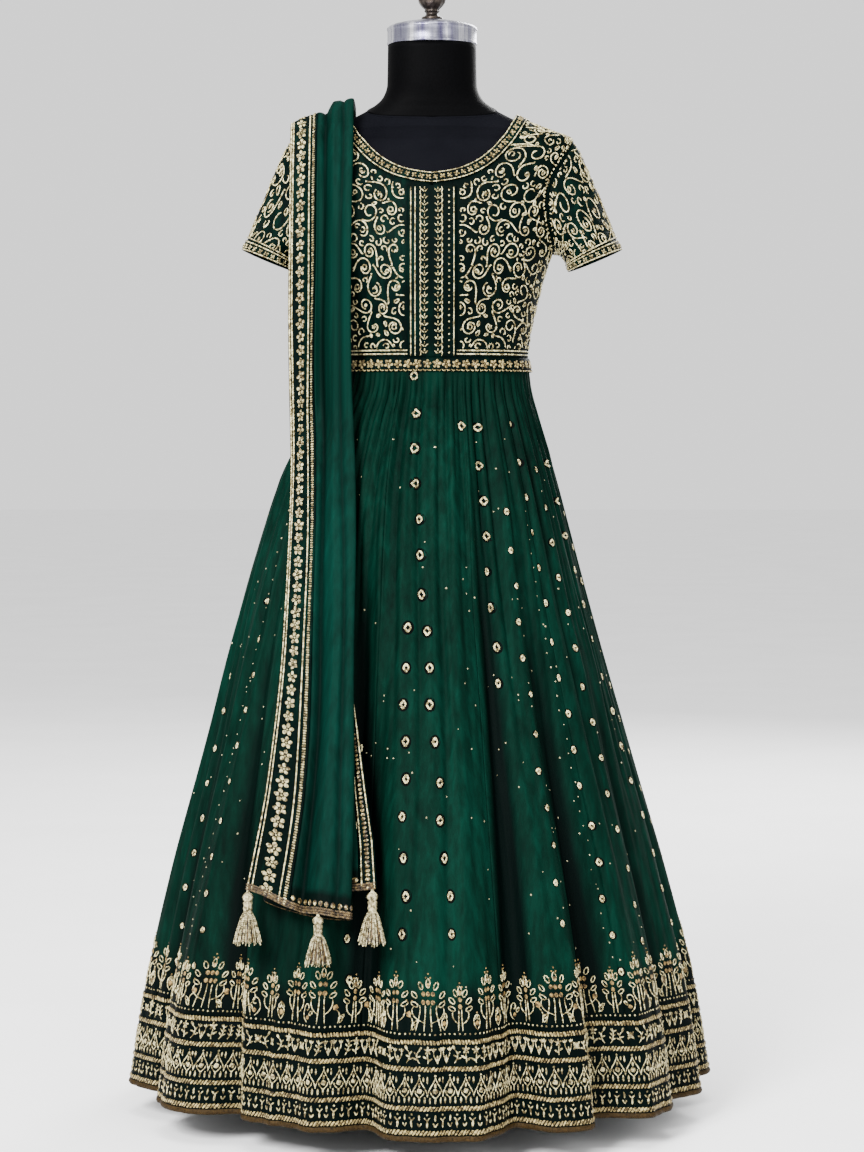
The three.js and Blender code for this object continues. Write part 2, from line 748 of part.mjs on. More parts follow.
// Placket down the middle front, from the neckband to the waistband
const placketPoint = (across, z) => {
  const half = follow(BODY, 'z', 'half', z);
  const x = PLACKET_HALF_WIDTH * across;
  const sine = Math.sign(x) * Math.abs(x / half) ** (BODY_POWER / 2);
  return bodyPoint((Math.asin(sine) * 180) / Math.PI, riseAt(z));
};
add(
  'placket',
  clothWall(
    placketPoint,
    spread(-1, 1, 4),
    spread(WAISTBAND_HIGH_Z + SEAM_GAP * 2, FRONT_NECK_Z - NECKBAND_WIDTH - 2, 9),
    TRIM_WALL,
    { lift: SEAM_GAP * 3, stepU: 0.05, stepV: 0.5 },
  ),
  EMBROIDERED,
);

// Waistband over the seam of bodice and skirt; it flares a little where the gathers begin
function waistbandPoint(angle, z) {
  const normal = normalOf(bodyPoint, angle, riseAt(z), 0.5, 1);
  const flare = (WAISTBAND_FLARE * (WAISTBAND_HIGH_Z - z)) / (WAISTBAND_HIGH_Z - WAISTBAND_LOW_Z);
  return bodyPoint(angle, riseAt(z)).addScaledVector(normal, flare);
}
add(
  'waistband',
  clothWall(waistbandPoint, spread(0, 360, 54).slice(0, -1), [WAISTBAND_LOW_Z, WAISTBAND_HIGH_Z], TRIM_WALL, {
    lift: SEAM_GAP * 3,
    closed: true,
    stepU: 0.5,
  }),
  ZARI,
);

// Sleeves: from each armhole to a tilted oval cuff
function armholeRound(turns) {
  const wrapped = ((turns % 1) + 1) % 1;
  const isFront = wrapped <= 0.5;
  const along = isFront ? 1 - wrapped * 2 : (wrapped - 0.5) * 2;
  const [angle, rise] = armholeAt(along);
  return [isFront ? angle : 180 - angle, rise];
}

const ARMHOLE_CENTRE = new THREE.Vector3(196, 0, 1236);

// One place of the sleeve: turns from the shoulder by the front, and share of the way out.
function sleevePoint(turns, share) {
  const [angle, rise] = armholeRound(turns);
  const start = bodyPoint(angle, rise);
  const step = 0.012;
  const tangent = bodyPoint(...armholeRound(turns + step)).sub(bodyPoint(...armholeRound(turns - step)));
  const normal = normalOf(bodyPoint, angle, rise, 0.5, 1);
  const away = normal.clone().cross(tangent.normalize()).normalize();
  if (away.dot(ARMHOLE_CENTRE.clone().sub(start)) < 0) away.negate();
  start.addScaledVector(away, SEAM_GAP * 4).addScaledVector(normal, SEAM_GAP * 3);
  const round = 2 * Math.PI * turns;
  const tilt = degrees(CUFF_TILT);
  const acrossCuff = CUFF_HALF_WIDTH * Math.cos(round);
  const end = new THREE.Vector3(
    CUFF_CENTRE_X + acrossCuff * Math.cos(tilt),
    -CUFF_HALF_DEPTH * Math.sin(round),
    CUFF_CENTRE_Z + acrossCuff * Math.sin(tilt),
  );
  const leave = new THREE.Vector3(0.82, 0, -0.4 - 0.35 * Math.cos(round)).multiplyScalar(46);
  leave.y = -14 * Math.sin(round);
  const arrive = new THREE.Vector3(Math.sin(tilt) * 1.1, 0, -Math.cos(tilt)).multiplyScalar(60);
  const s = share;
  return new THREE.Vector3()
    .addScaledVector(start, (1 + 2 * s) * (1 - s) * (1 - s))
    .addScaledVector(leave, s * (1 - s) * (1 - s))
    .addScaledVector(end, s * s * (3 - 2 * s))
    .addScaledVector(arrive, s * s * (s - 1));
}

const SLEEVE_STEPS = 24;
const mirrored = (side, surface) => (u, v) => {
  const point = surface(u, v);
  return new THREE.Vector3(point.x * side, point.y, point.z);
};

for (const [name, side] of [['left', -1], ['right', 1]]) {
  const turns = spread(0, 1, SLEEVE_STEPS).slice(0, -1);
  const place = mirrored(side, (u, v) => sleevePoint(u, v));
  const build = (shares, lift, wall) => {
    const outer = [];
    const inner = [];
    for (const share of shares) {
      const outerRow = [];
      const innerRow = [];
      for (const turn of turns) {
        const normal = normalOf(sleevePoint, turn, Math.min(0.97, Math.max(0.03, share)), 0.004, 0.02);
        const round = 2 * Math.PI * turn;
        const outward = new THREE.Vector3(Math.cos(round), -Math.sin(round), 0.3 * Math.cos(round));
        if (normal.dot(outward) < 0) normal.negate();
        if (share === 0) {
          const [angle, rise] = armholeRound(turn);
          normal.copy(normalOf(bodyPoint, angle, rise, 0.5, 1));
        }
        normal.x *= side;
        const point = place(turn, share);
        outerRow.push(point.clone().addScaledVector(normal, lift > 0 ? lift + wall : 0));
        innerRow.push(point.clone().addScaledVector(normal, lift > 0 ? lift : -wall));
      }
      outer.push(outerRow);
      inner.push(innerRow);
    }
    return wallFromGrid(outer, inner, true);
  };
  add(`sleeve_${name}`, build([0, 0.16, 0.42, 0.7, 1], 0, GOWN_WALL), EMBROIDERED);
  add(`sleeve_band_${name}`, build([CUFF_BAND_SHARE, 1], SEAM_GAP * 3, TRIM_WALL), ZARI);
}

// Skirt: gored panels from the waist seam to the border, then the border's lengths
const columnStep = 360 / (KALI_COUNT * COLUMNS_PER_KALI);

function skirtWall(firstColumn, lastColumn, rows) {
  const columns = [];
  for (let column = firstColumn; column <= lastColumn; column += 1) columns.push(column);
  const outer = [];
  const inner = [];
  for (const down of rows) {
    const outerRow = [];
    const innerRow = [];
    for (const column of columns) {
      let angle = column * columnStep;
      const plain = skirtPoint(angle, down, false);
      const shift = (SEAM_GAP * 0.75 * 180) / (Math.PI * Math.hypot(plain.x, plain.y));
      if (column === firstColumn) angle += shift;
      if (column === lastColumn) angle -= shift;
      const held = Math.min(0.99, Math.max(0.01, down));
      const normal = normalOf(skirtPoint, angle, held, 0.35, 0.008);
      const point = skirtPoint(angle, down);
      outerRow.push(point);
      innerRow.push(point.clone().addScaledVector(normal, -GOWN_WALL));
    }
    outer.push(outerRow);
    inner.push(innerRow);
  }
  return wallFromGrid(outer, inner);
}

const borderDown = (WAIST_SEAM_Z - BORDER_TOP_Z) / (WAIST_SEAM_Z - HEM_Z);
const borderGap = SEAM_GAP / (WAIST_SEAM_Z - HEM_Z);
for (let kali = 0; kali < KALI_COUNT; kali += 1) {
  const first = kali * COLUMNS_PER_KALI - COLUMNS_PER_KALI / 2;
  const rows = SKIRT_ROWS.map((down, i) => (i === SKIRT_ROWS.length - 1 ? borderDown - borderGap : down));
  const name = `skirt_kali_${String(kali + 1).padStart(2, '0')}`;
  add(name, skirtWall(first, first + COLUMNS_PER_KALI, rows), GOWN_GREEN);
}
for (let length = 0; length < BORDER_COUNT; length += 1) {
  const columns = (KALI_COUNT * COLUMNS_PER_KALI) / BORDER_COUNT;
  const first = length * columns - COLUMNS_PER_KALI / 2;
  add(`hem_border_${length + 1}`, skirtWall(first, first + columns, [borderDown, 1]), EMBROIDERED);
}

// Scarf: how far out the body, sleeve and skirt push it at a width and a height
function depthAt(x, z, isBack) {
  const oval = (reach, half, depth, power) =>
    reach >= half ? 0 : depth * (1 - (reach / half) ** power) ** (1 / power);
  const depthColumn = isBack ? 'back' : 'front';
  const reach = Math.abs(x);
  const bodyHalf = follow(BODY, 'z', 'half', z);
  const bodyDepth = follow(BODY, 'z', depthColumn, z);
  const torso = oval(Math.min(reach, 160), bodyHalf, bodyDepth, BODY_POWER);
  const sleeveRise = (z - 1212) / 104;
  const sleeveFade = Math.min(1, Math.max(0, (reach - 128) / 34));
  const sleeve = Math.abs(sleeveRise) < 1 ? 67 * Math.sqrt(1 - sleeveRise ** 2) * sleeveFade : 0;
  if (z > WAIST_SEAM_Z) return Math.max(torso, sleeve);
  const power = 2 + 0.3 * Math.max(0, 1 - (3 * (WAIST_SEAM_Z - z)) / (WAIST_SEAM_Z - HEM_Z));
  const skirtHalf = follow(SKIRT, 'z', 'left', z);
  return oval(reach, skirtHalf, follow(SKIRT, 'z', depthColumn, z), power);
}

const RIDGE_SLOPE = (NECK_POINT_Z - 1310) / (190 - NECK_HALF_WIDTH);
const ridgeAt = (x) => 1311 + (190 - Math.min(190, Math.abs(x))) * RIDGE_SLOPE;

// Cloth hangs straight down from the furthest-out place above it.
const HANG_STEP = 12;
const HANG_X_STEP = 10;
function hangTable(isBack) {
  const table = [];
  for (let x = 60; x <= 260; x += HANG_X_STEP) {
    const column = [];
    let reached = 0;
    for (let z = 1320; z >= 270; z -= HANG_STEP) {
      reached = Math.max(reached, depthAt(x, z, isBack));
      column.push(reached);
    }
    for (let pass = 0; pass < 3; pass += 1) {
      for (let i = 1; i < column.length - 1; i += 1) {
        column[i] = Math.max(column[i], (column[i - 1] + column[i + 1]) / 2);
      }
    }
    table.push(column);
  }
  return table;
}
const HANG = { front: hangTable(false), back: hangTable(true) };

function hangAt(x, z, end) {
  const table = HANG[end];
  const across = Math.min(table.length - 1.001, Math.max(0, (Math.abs(x) - 60) / HANG_X_STEP));
  const down = Math.min(table[0].length - 1.001, Math.max(0, (1320 - z) / HANG_STEP));
  const i = Math.floor(across);
  const j = Math.floor(down);
  const mix = (column) => column[j] + (column[j + 1] - column[j]) * (down - j);
  return mix(table[i]) + (mix(table[i + 1]) - mix(table[i])) * (across - i);
}

// Where the lowest layer of the scarf lies in the plane of one width, as y and z.
function scarfPath(x, along, hemZ) {
  const turnZ = ridgeAt(x) - SCARF_TURN_DROP;
  if (along < SCARF_FRONT_END || along > SCARF_BACK_START) {
    const isBack = along > 0.5;
    const down = isBack
      ? (along - SCARF_BACK_START) / (1 - SCARF_BACK_START)
      : (SCARF_FRONT_END - along) / SCARF_FRONT_END;
    const z = turnZ + (hemZ - turnZ) * down;
    const out = hangAt(x, z, isBack ? 'back' : 'front') + SCARF_EASE;
    return [isBack ? out : -out, z];
  }
  const turn = ((along - SCARF_FRONT_END) / (SCARF_BACK_START - SCARF_FRONT_END) - 0.5) * Math.PI;
  const isBack = turn > 0;
  const inside = (radius) => {
    const y = radius * Math.abs(Math.sin(turn));
    const z = turnZ + radius * Math.cos(turn);
    return z < ridgeAt(x) && y < hangAt(x, z, isBack ? 'back' : 'front');
  };
  let low = 10;
  let high = 140;
  for (let i = 0; i < 22; i += 1) {
    const middle = (low + high) / 2;
    if (inside(middle)) low = middle;
    else high = middle;
  }
  const radius = low + SCARF_EASE;
  return [radius * Math.sin(turn), turnZ + radius * Math.cos(turn)];
}

function scarfPoint(share, along) {
  const isBack = along > 0.5;
  const rows = isBack ? SCARF_BACK : SCARF_FRONT;
  const span = isBack ? (along - SCARF_BACK_START) / (1 - SCARF_BACK_START)
    : (SCARF_FRONT_END - along) / SCARF_FRONT_END;
  const down = Math.min(1, Math.max(0, span));
  const outer = follow(rows, 'down', 'outer', down);
  const inner = follow(rows, 'down', 'inner', down);
  const height = follow(rows, 'down', 'height', down);
  const peek = follow(rows, 'down', 'peek', down) * Math.max(0, (share - 0.85) / 0.15);
  const x = outer + (inner - outer) * follow(SCARF_SECTION, 'share', 'across', share) + peek;
  const hemZ = follow(SCARF_HEM, 'share', isBack ? 'back' : 'front', share);
  const [y, z] = scarfPath(x, along, hemZ);
  const step = 0.004;
  const [y0, z0] = scarfPath(x, along - step, hemZ);
  const [y1, z1] = scarfPath(x, along + step, hemZ);
  const length = Math.hypot(y1 - y0, z1 - z0);
  const out = follow(SCARF_SECTION, 'share', 'out', share) * height;
  return new THREE.Vector3(x, y - (out * (z1 - z0)) / length, z + (out * (y1 - y0)) / length);
}

const scarfRows = [
  ...spread(0.0005, SCARF_FRONT_END, SCARF_FRONT_ROWS),
  ...spread(SCARF_FRONT_END, SCARF_BACK_START, SCARF_TURN_ROWS).slice(1, -1),
  ...spread(SCARF_BACK_START, 0.9995, SCARF_BACK_ROWS),
];
function scarfWall(from, to) {
  const inside = SCARF_SECTION.map((row) => row.share).filter((share) => share > from && share < to);
  const gap = SEAM_GAP / SCARF_DEVELOPED_WIDTH;
  const first = from === 0 ? 0 : from + gap;
  const last = to === 1 ? 1 : to - gap;
  return clothWall(scarfPoint, [first, ...inside, last], scarfRows, SCARF_WALL, { stepU: 0.006, stepV: 0.004 });
}
add('scarf_wide_border', scarfWall(0, SCARF_BORDER_SHARE), ZARI);
add('scarf_cloth', scarfWall(SCARF_BORDER_SHARE, SCARF_EDGE_SHARE), SCARF_GREEN);
add('scarf_narrow_border', scarfWall(SCARF_EDGE_SHARE, 1), ZARI);

// Tassels: a turned head with strands fused into its collar
function manifoldOf(geometry) {
  const position = geometry.getAttribute('position');
  const mesh = new wasm.Mesh({
    numProp: 3,
    vertProperties: new Float32Array(position.array),
    triVerts: new Uint32Array(geometry.getIndex().array),
  });
  return new wasm.Manifold(mesh);
}

function geometryOf(solid) {
  const mesh = solid.getMesh();
  const geometry = new THREE.BufferGeometry();
  geometry.setAttribute('position', new THREE.BufferAttribute(new Float32Array(mesh.vertProperties), 3));
  geometry.setIndex(new THREE.BufferAttribute(new Uint32Array(mesh.triVerts), 1));
  geometry.computeVertexNormals();
  return geometry;
}

function strand(root, tip, turn) {
  const ringAt = (centre) =>
    [0, 1, 2].map((corner) => {
      const angle = turn + (2 * Math.PI * corner) / 3;
      const x = centre.x + STRAND_RADIUS * Math.cos(angle);
      return new THREE.Vector3(x, centre.y + STRAND_RADIUS * Math.sin(angle), centre.z);
    });
  return solidThroughRings([ringAt(root), ringAt(tip)]);
}

function tassel(top, lean) {
  const outline = TASSEL_HEAD.map(({ drop, radius }) => ({ z: -drop, radius }));
  let whole = manifoldOf(turned(outline, TASSEL_HEAD_SIDES));
  const collar = TASSEL_HEAD[TASSEL_HEAD.length - 1].drop;
  STRAND_RINGS.forEach(({ count, root, tip }, ring) => {
    for (let i = 0; i < count; i += 1) {
      const angle = (2 * Math.PI * (i + 0.5 * ring)) / count;
      const uneven = Math.sin(i * 2.3 + ring);
      const at = (radius, drop) => new THREE.Vector3(radius * Math.cos(angle), radius * Math.sin(angle), -drop);
      const reach = tip * (1 + 0.06 * uneven);
      const length = TASSEL_LENGTH - 2.5 + 2.4 * uneven;
      whole = whole.add(manifoldOf(strand(at(root, collar - 1), at(reach, length), angle)));
    }
  });
  const geometry = geometryOf(whole);
  const position = geometry.getAttribute('position');
  for (let i = 0; i < position.count; i += 1) {
    position.setY(i, position.getY(i) - position.getZ(i) * lean);
  }
  geometry.translate(top.x, top.y, top.z);
  geometry.computeVertexNormals();
  return geometry;
}

// Each tassel leans out just enough to lie on the skirt under it.
for (const { name, share, end } of TASSELS) {
  const isFront = end === 'front';
  const hem = scarfPoint(share, isFront ? 0.0005 : 0.9995);
  const outward = normalOf(scarfPoint, share, isFront ? 0.006 : 0.994, 0.006, 0.004);
  hem.addScaledVector(outward, -SCARF_WALL / 2);
  hem.z -= SEAM_GAP * 2;
  const tipReach = STRAND_RINGS[0].tip * 1.06 + STRAND_RADIUS + 1;
  const needed = [10, 19, 42, TASSEL_LENGTH].map((drop) => {
    const half = drop < 20 ? 8 : 4 + ((tipReach - 4) * (drop - 16)) / (TASSEL_LENGTH - 16);
    const reached = Math.max(hangAt(hem.x - half, hem.z - drop, end), hangAt(hem.x + half, hem.z - drop, end));
    return (reached + half - Math.abs(hem.y)) / drop;
  });
  const lean = Math.max(0, ...needed);
  add(name, tassel(hem, isFront ? -lean : lean), TASSEL_CREAM);
}

export default suit;
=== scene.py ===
"""A salwar suit on a dress form, in metres, in the CAD frame.

Surfaces are worked out in millimetres, +Z up, X to the viewer's right, front towards -Y.
Angles are in degrees round the body from the middle front, towards +X.
A place function puts the flat positions of a chart on a surface: points and normals.
"""

import math

import bpy
import numpy as np
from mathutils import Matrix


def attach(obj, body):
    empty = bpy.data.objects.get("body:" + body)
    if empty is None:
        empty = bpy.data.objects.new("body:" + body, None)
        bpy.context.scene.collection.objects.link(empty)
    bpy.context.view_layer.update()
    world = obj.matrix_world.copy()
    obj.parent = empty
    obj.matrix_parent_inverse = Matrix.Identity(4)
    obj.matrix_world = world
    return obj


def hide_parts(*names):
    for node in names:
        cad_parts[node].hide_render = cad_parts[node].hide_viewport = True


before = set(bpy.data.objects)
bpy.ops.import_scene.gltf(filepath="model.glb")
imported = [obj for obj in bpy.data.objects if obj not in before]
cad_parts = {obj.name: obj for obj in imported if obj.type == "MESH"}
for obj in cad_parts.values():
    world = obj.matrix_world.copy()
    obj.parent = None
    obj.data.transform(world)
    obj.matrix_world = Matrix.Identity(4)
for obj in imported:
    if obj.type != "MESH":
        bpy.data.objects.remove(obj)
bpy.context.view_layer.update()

MM = 0.001
TAU = 2 * math.pi

# ---- the gown's measurements, as in the CAD ----

HEM_Z = 40
BORDER_TOP_Z = 160
WAIST_SEAM_Z = 1006
WAISTBAND_LOW_Z = 998
WAISTBAND_HIGH_Z = 1016
WAISTBAND_FLARE = 4.6
FRONT_NECK_Z = 1260
BACK_NECK_Z = 1324
NECK_POINT_Z = 1342
NECK_HALF_WIDTH = 113
NECKBAND_WIDTH = 16
PLACKET_HALF_WIDTH = 32.5
UNDERARM_RISE = 158
SHOULDER_RISE = 316
ARMHOLE_TURN = 30
CLOTH = 0.9
BODY_POWER = 2.3
GATHER_COUNT = 45
SKIRT_LENGTH = WAIST_SEAM_Z - HEM_Z


def columns(names, rows):
    """A table as one array a column."""
    return {name: np.array([row[i] for row in rows], float) for i, name in enumerate(names)}


BODY = columns(
    ("rise", "z", "half", "front", "back"),
    [
        (-226, 780, 158, 104, 116), (-120, 880, 138, 98, 101), (-60, 940, 126, 94, 90),
        (0, 1000, 129, 96, 86), (45, 1045, 133, 104, 89), (90, 1090, 143, 118, 95),
        (134, 1133, 154, 126, 101), (162, 1160, 163, 125, 104), (205, 1203, 170, 114, 106),
        (250, 1248, 178, 95, 102), (290, 1287, 187, 74, 87), (316, 1310, 190, 60, 71),
        (345, 1323, 163, 58, 65), (375, 1335, 132, 58, 62), (400, 1345, 110, 58, 61),
        (425, 1354, 90, 57, 60), (446, 1362, 77, 57, 60), (463, 1371, 69, 58, 60),
        (480, 1385, 64.5, 60, 61), (537, 1440, 63.5, 62, 62),
    ],
)
SKIRT = columns(
    ("z", "right", "left", "front", "back"),
    [
        (40, 384, 414, 404, 402), (153, 366, 396, 388, 388), (327, 322, 356, 346, 346),
        (501, 269, 308, 288, 290), (675, 218, 262, 228, 232), (849, 170, 206, 158, 158),
        (936, 144, 160, 119, 112), (980, 132, 133.5, 100, 91), (1006, 129.4, 129.4, 97, 86.3),
    ],
)
# Deep folds: angle at the waist and at the hem, drift, half width, depth, and where they begin.
FOLDS = [
    (22, 18.5, 1, 6.5, 58, 0.02), (36, 39, 1, 6, 50, 0.2), (60, 62, 1, 6, 34, 0.42),
    (84, 80, 1.4, 7, 46, 0.12), (106, 103, 1, 6, 52, 0.3), (127, 131, 1.5, 8, 60, 0.06),
    (152, 150, 1, 5.5, 40, 0.36), (168, 174, 1.2, 7.5, 62, 0.04), (199, 196, 1, 6, 44, 0.26),
    (221, 219, 1.3, 8, 56, 0.1), (246, 243, 1, 5.5, 38, 0.4), (262, 268, 1, 7, 52, 0.16),
    (290, 291, 1, 6, 36, 0.34), (298, 316, 1.2, 5.5, 44, 0.3), (319, 346, 2.7, 6, 52, 0.05),
    (325, 329, 1, 13, 34, 0.45),
]
GATHERS = columns(
    ("down", "deep"),
    [(0, 0), (0.012, 0.4), (0.05, 5.5), (0.16, 8), (0.36, 7), (0.6, 6), (1, 6.5)],
)
SCARF_SECTION = columns(
    ("share", "across", "out"),
    [
        (0, 0, 0.98), (0.07, 0.14, 1.1), (0.14, 0.28, 1.12), (0.21, 0.42, 1.06),
        (0.26, 0.54, 0.78), (0.31, 0.63, 1.02), (0.36, 0.73, 1.3), (0.41, 0.85, 1.12),
        (0.45, 0.95, 0.98), (0.48, 1, 0.76), (0.51, 0.95, 0.54), (0.57, 0.76, 0.45),
        (0.64, 0.5, 0.4), (0.7, 0.26, 0.52), (0.73, 0.18, 0.44), (0.75, 0.16, 0.24),
        (0.78, 0.23, 0.02), (0.85, 0.5, 0), (0.92, 0.78, 0.02), (0.96, 0.93, 0.12),
        (1, 1.05, 0.3),
    ],
)
SCARF_FRONT = columns(
    ("down", "outer", "inner", "height", "peek"),
    [
        (0, -189, -104, 13, -4), (0.2, -191, -106, 13, -4), (0.45, -188, -102, 14, 0),
        (0.65, -194, -99, 16, 5), (0.85, -212, -97, 19, 12), (1, -238, -98, 22, 22),
    ],
)
SCARF_BACK = columns(
    ("down", "outer", "inner", "height", "peek"),
    [
        (0, -189, -104, 13, -4), (0.25, -186, -98, 14, -2), (0.5, -192, -93, 16, 3),
        (0.75, -206, -90, 19, 12), (1, -230, -86, 22, 24),
    ],
)
SCARF_HEM = columns(
    ("share", "front", "back"),
    [(0, 326, 338), (0.21, 316, 330), (0.48, 303, 312), (0.75, 322, 326), (1, 346, 352)],
)
SCARF_EASE = 6.3
SCARF_TURN_DROP = 60
SCARF_FRONT_END = 0.42
SCARF_BACK_START = 0.58
SCARF_UV_WIDTH, SCARF_UV_LENGTH = 0.28, 2.2


# ---- surfaces ----


def follow(table, by, column, value):
    """Reads one column against another along a smooth curve with no overshoot."""
    x, y = table[by], table[column]
    value = np.asarray(value, float)
    slope = np.diff(y) / np.diff(x)
    tangent = np.concatenate([slope[:1], np.zeros(len(x) - 2), slope[-1:]])
    before, after = slope[:-1], slope[1:]
    same = before * after > 0
    tangent[1:-1] = np.where(same, 2 * before * after / np.where(same, before + after, 1), 0)
    i = np.clip(np.searchsorted(x, value) - 1, 0, len(x) - 2)
    span = x[i + 1] - x[i]
    s = np.clip((value - x[i]) / span, 0, 1)
    return (
        y[i] * (1 + 2 * s) * (1 - s) ** 2
        + tangent[i] * span * s * (1 - s) ** 2
        + y[i + 1] * s * s * (3 - 2 * s)
        + tangent[i + 1] * span * s * s * (s - 1)
    )


def bend(value, power):
    return np.sign(value) * np.abs(value) ** (2 / power)


def vectors(x, y, z):
    return np.stack(np.broadcast_arrays(x, y, z), axis=-1).astype(float)


def unit(v):
    return v / np.maximum(np.linalg.norm(v, axis=-1, keepdims=True), 1e-9)


def normal_of(surface, u, v, step_u, step_v):
    along_u = surface(u + step_u, v) - surface(u - step_u, v)
    along_v = surface(u, v + step_v) - surface(u, v - step_v)
    return unit(np.cross(along_u, along_v))


def steps_of(line):
    return np.linalg.norm(np.diff(line, axis=0), axis=-1)


def arc_of(line):
    """Running length along a line of points."""
    return np.concatenate([[0], np.cumsum(steps_of(line))])


def depth_towards(table, by, value, ahead):
    """A section's depth to the front or to the back."""
    return np.where(ahead > 0, follow(table, by, "front", value), follow(table, by, "back", value))


def oval_point(across, ahead, half, depth, power, z):
    return vectors(half * bend(across, power), -depth * bend(ahead, power), z)


def body_point(angle, rise):
    turn = np.radians(angle)
    across, ahead = np.sin(turn), np.cos(turn)
    half = follow(BODY, "rise", "half", rise)
    depth = depth_towards(BODY, "rise", rise, ahead)
    return oval_point(across, ahead, half, depth, BODY_POWER, follow(BODY, "rise", "z", rise))


def rise_at(z):
    return follow(BODY, "z", "rise", z)


def pressed_in(angle, down):
    """How far folds and gathers press the skirt in."""
    total = np.zeros(np.broadcast(angle, down).shape)
    for top, low, drift, half, deep, start in FOLDS:
        grown = (np.clip(down - start, 0, None) / (1 - start)) ** 0.85
        centre = top + (low - top) * (1 - (1 - np.clip(down, 0, 1)) ** drift)
        away = (angle - centre + 180) % 360 - 180
        narrow = half * (1.25 - 0.25 * down)
        total = total + deep * grown * np.exp(-((away / narrow) ** 2) * 1.4)
    turn = angle / 360 % 1 * GATHER_COUNT
    uneven = 0.72 + 0.28 * np.sin(np.floor(turn) * 2.4)
    wave = 0.5 - 0.5 * np.cos(TAU * turn)
    return total + follow(GATHERS, "down", "deep", down) * uneven * wave


def ripple(angle, down):
    """Fine uneven creases between the gathers, deeper near the waist."""
    turn = np.radians(angle)
    fade = np.clip(down / 0.03, 0, 1)
    near = np.exp(-down * 3.2)
    a = np.sin(101 * turn + 2.2 * np.sin(5 * turn + 1) + 1.6 * np.sin(9 * down + 3 * turn))
    b = np.sin(67 * turn + 1.8 * np.sin(7 * turn + 4) + 2.1 * np.sin(6 * down + 2 * turn + 1))
    c = np.sin(151 * turn + 3 * np.sin(4 * turn) + 2.6 * np.sin(8 * down - 5 * turn))
    small = 0.9 + 0.7 * np.sin(13 * turn + 2) * np.sin(4.2 * down + 3 * turn)
    return fade * ((0.5 + 1.1 * near) * a + (0.9 + 0.5 * near) * b * small + 0.35 * c)


def skirt_power(down):
    """The skirt's section is squarer near the waist."""
    return 2 + 0.3 * np.clip(1 - down * 3, 0, None)


def skirt_point(angle, down, folded=True):
    angle, down = np.broadcast_arrays(np.asarray(angle, float), np.asarray(down, float))
    z = WAIST_SEAM_Z - SKIRT_LENGTH * down
    turn = np.radians(angle)
    across, ahead = np.sin(turn), np.cos(turn)
    half = np.where(across > 0, follow(SKIRT, "z", "right", z), follow(SKIRT, "z", "left", z))
    depth = depth_towards(SKIRT, "z", z, ahead)
    point = oval_point(across, ahead, half, depth, skirt_power(down), z)
    if folded:
        radius = np.hypot(point[..., 0], point[..., 1])
        kept = (radius - pressed_in(angle, down) - ripple(angle, down)) / radius
        point[..., :2] *= kept[..., None]
    return point


def skirt_out(angle, down):
    """The skirt's outward normal."""
    return -normal_of(skirt_point, angle, np.clip(down, 0.004, 0.996), 0.2, 0.004)


def neck_height(x, low):
    """A scoop, which comes to a slight point at the middle front."""
    share = np.minimum(1, np.abs(x) / NECK_HALF_WIDTH)
    point = 0.16 if low == FRONT_NECK_Z else 0
    return low + (NECK_POINT_Z - low) * (point * share + (1 - point) * share ** (2.6 + 2 * point))


NECK_RISE = float(rise_at(NECK_POINT_Z))
WAIST_RISE = float(rise_at(WAIST_SEAM_Z + 0.3))
NECK_CROWDING = 1.8
SIDE_ROWS, ARMHOLE_ROWS, SHOULDER_ROWS = 4, 7, 3
EDGE_ROWS = SIDE_ROWS + ARMHOLE_ROWS + SHOULDER_ROWS
UNDERARM_SHARE = SIDE_ROWS / EDGE_ROWS
SHOULDER_SHARE = (SIDE_ROWS + ARMHOLE_ROWS) / EDGE_ROWS


def neckline_at(along, low):
    x = NECK_HALF_WIDTH * along
    z = neck_height(x, low)
    half = follow(BODY, "z", "half", z)
    sine = np.minimum(1, (x / half) ** (BODY_POWER / 2))
    reached = np.where(along > 0.999, 90, np.degrees(np.arcsin(sine)))
    return reached, rise_at(z)


def armhole_at(along):
    held = np.clip(along, 0, 1)
    turn = ARMHOLE_TURN * np.clip(np.sin(math.pi * held), 0, None) ** 0.62
    return 90 - turn, UNDERARM_RISE + (SHOULDER_RISE - UNDERARM_RISE) * along


def panel_at(across, up, low):
    """A bodice panel's angle and rise from its four edges."""
    top = neckline_at(1 - (1 - across) ** NECK_CROWDING, low)
    arm = armhole_at((up - UNDERARM_SHARE) / (SHOULDER_SHARE - UNDERARM_SHARE))
    on_side = up <= UNDERARM_SHARE
    on_arm = up <= SHOULDER_SHARE
    shoulder = (up - SHOULDER_SHARE) / (1 - SHOULDER_SHARE)
    side = (
        np.where(on_side, 90, np.where(on_arm, arm[0], 90)),
        np.where(
            on_side,
            WAIST_RISE + (UNDERARM_RISE - WAIST_RISE) * up / UNDERARM_SHARE,
            np.where(on_arm, arm[1], SHOULDER_RISE + (NECK_RISE - SHOULDER_RISE) * shoulder),
        ),
    )
    middle = neckline_at(np.zeros(1), low)
    middle = (float(middle[0][0]), float(middle[1][0]))
    bottom = (90 * across, np.full_like(across, WAIST_RISE))
    centre = (np.zeros_like(up), WAIST_RISE + (middle[1] - WAIST_RISE) * up)
    corner = ((0, WAIST_RISE), (90, WAIST_RISE), middle, (90, NECK_RISE))
    return [
        (1 - up) * bottom[k]
        + up * top[k]
        + (1 - across) * centre[k]
        + across * side[k]
        - (1 - across) * (1 - up) * corner[0][k]
        - across * (1 - up) * corner[1][k]
        - (1 - across) * up * corner[2][k]
        - across * up * corner[3][k]
        for k in (0, 1)
    ]


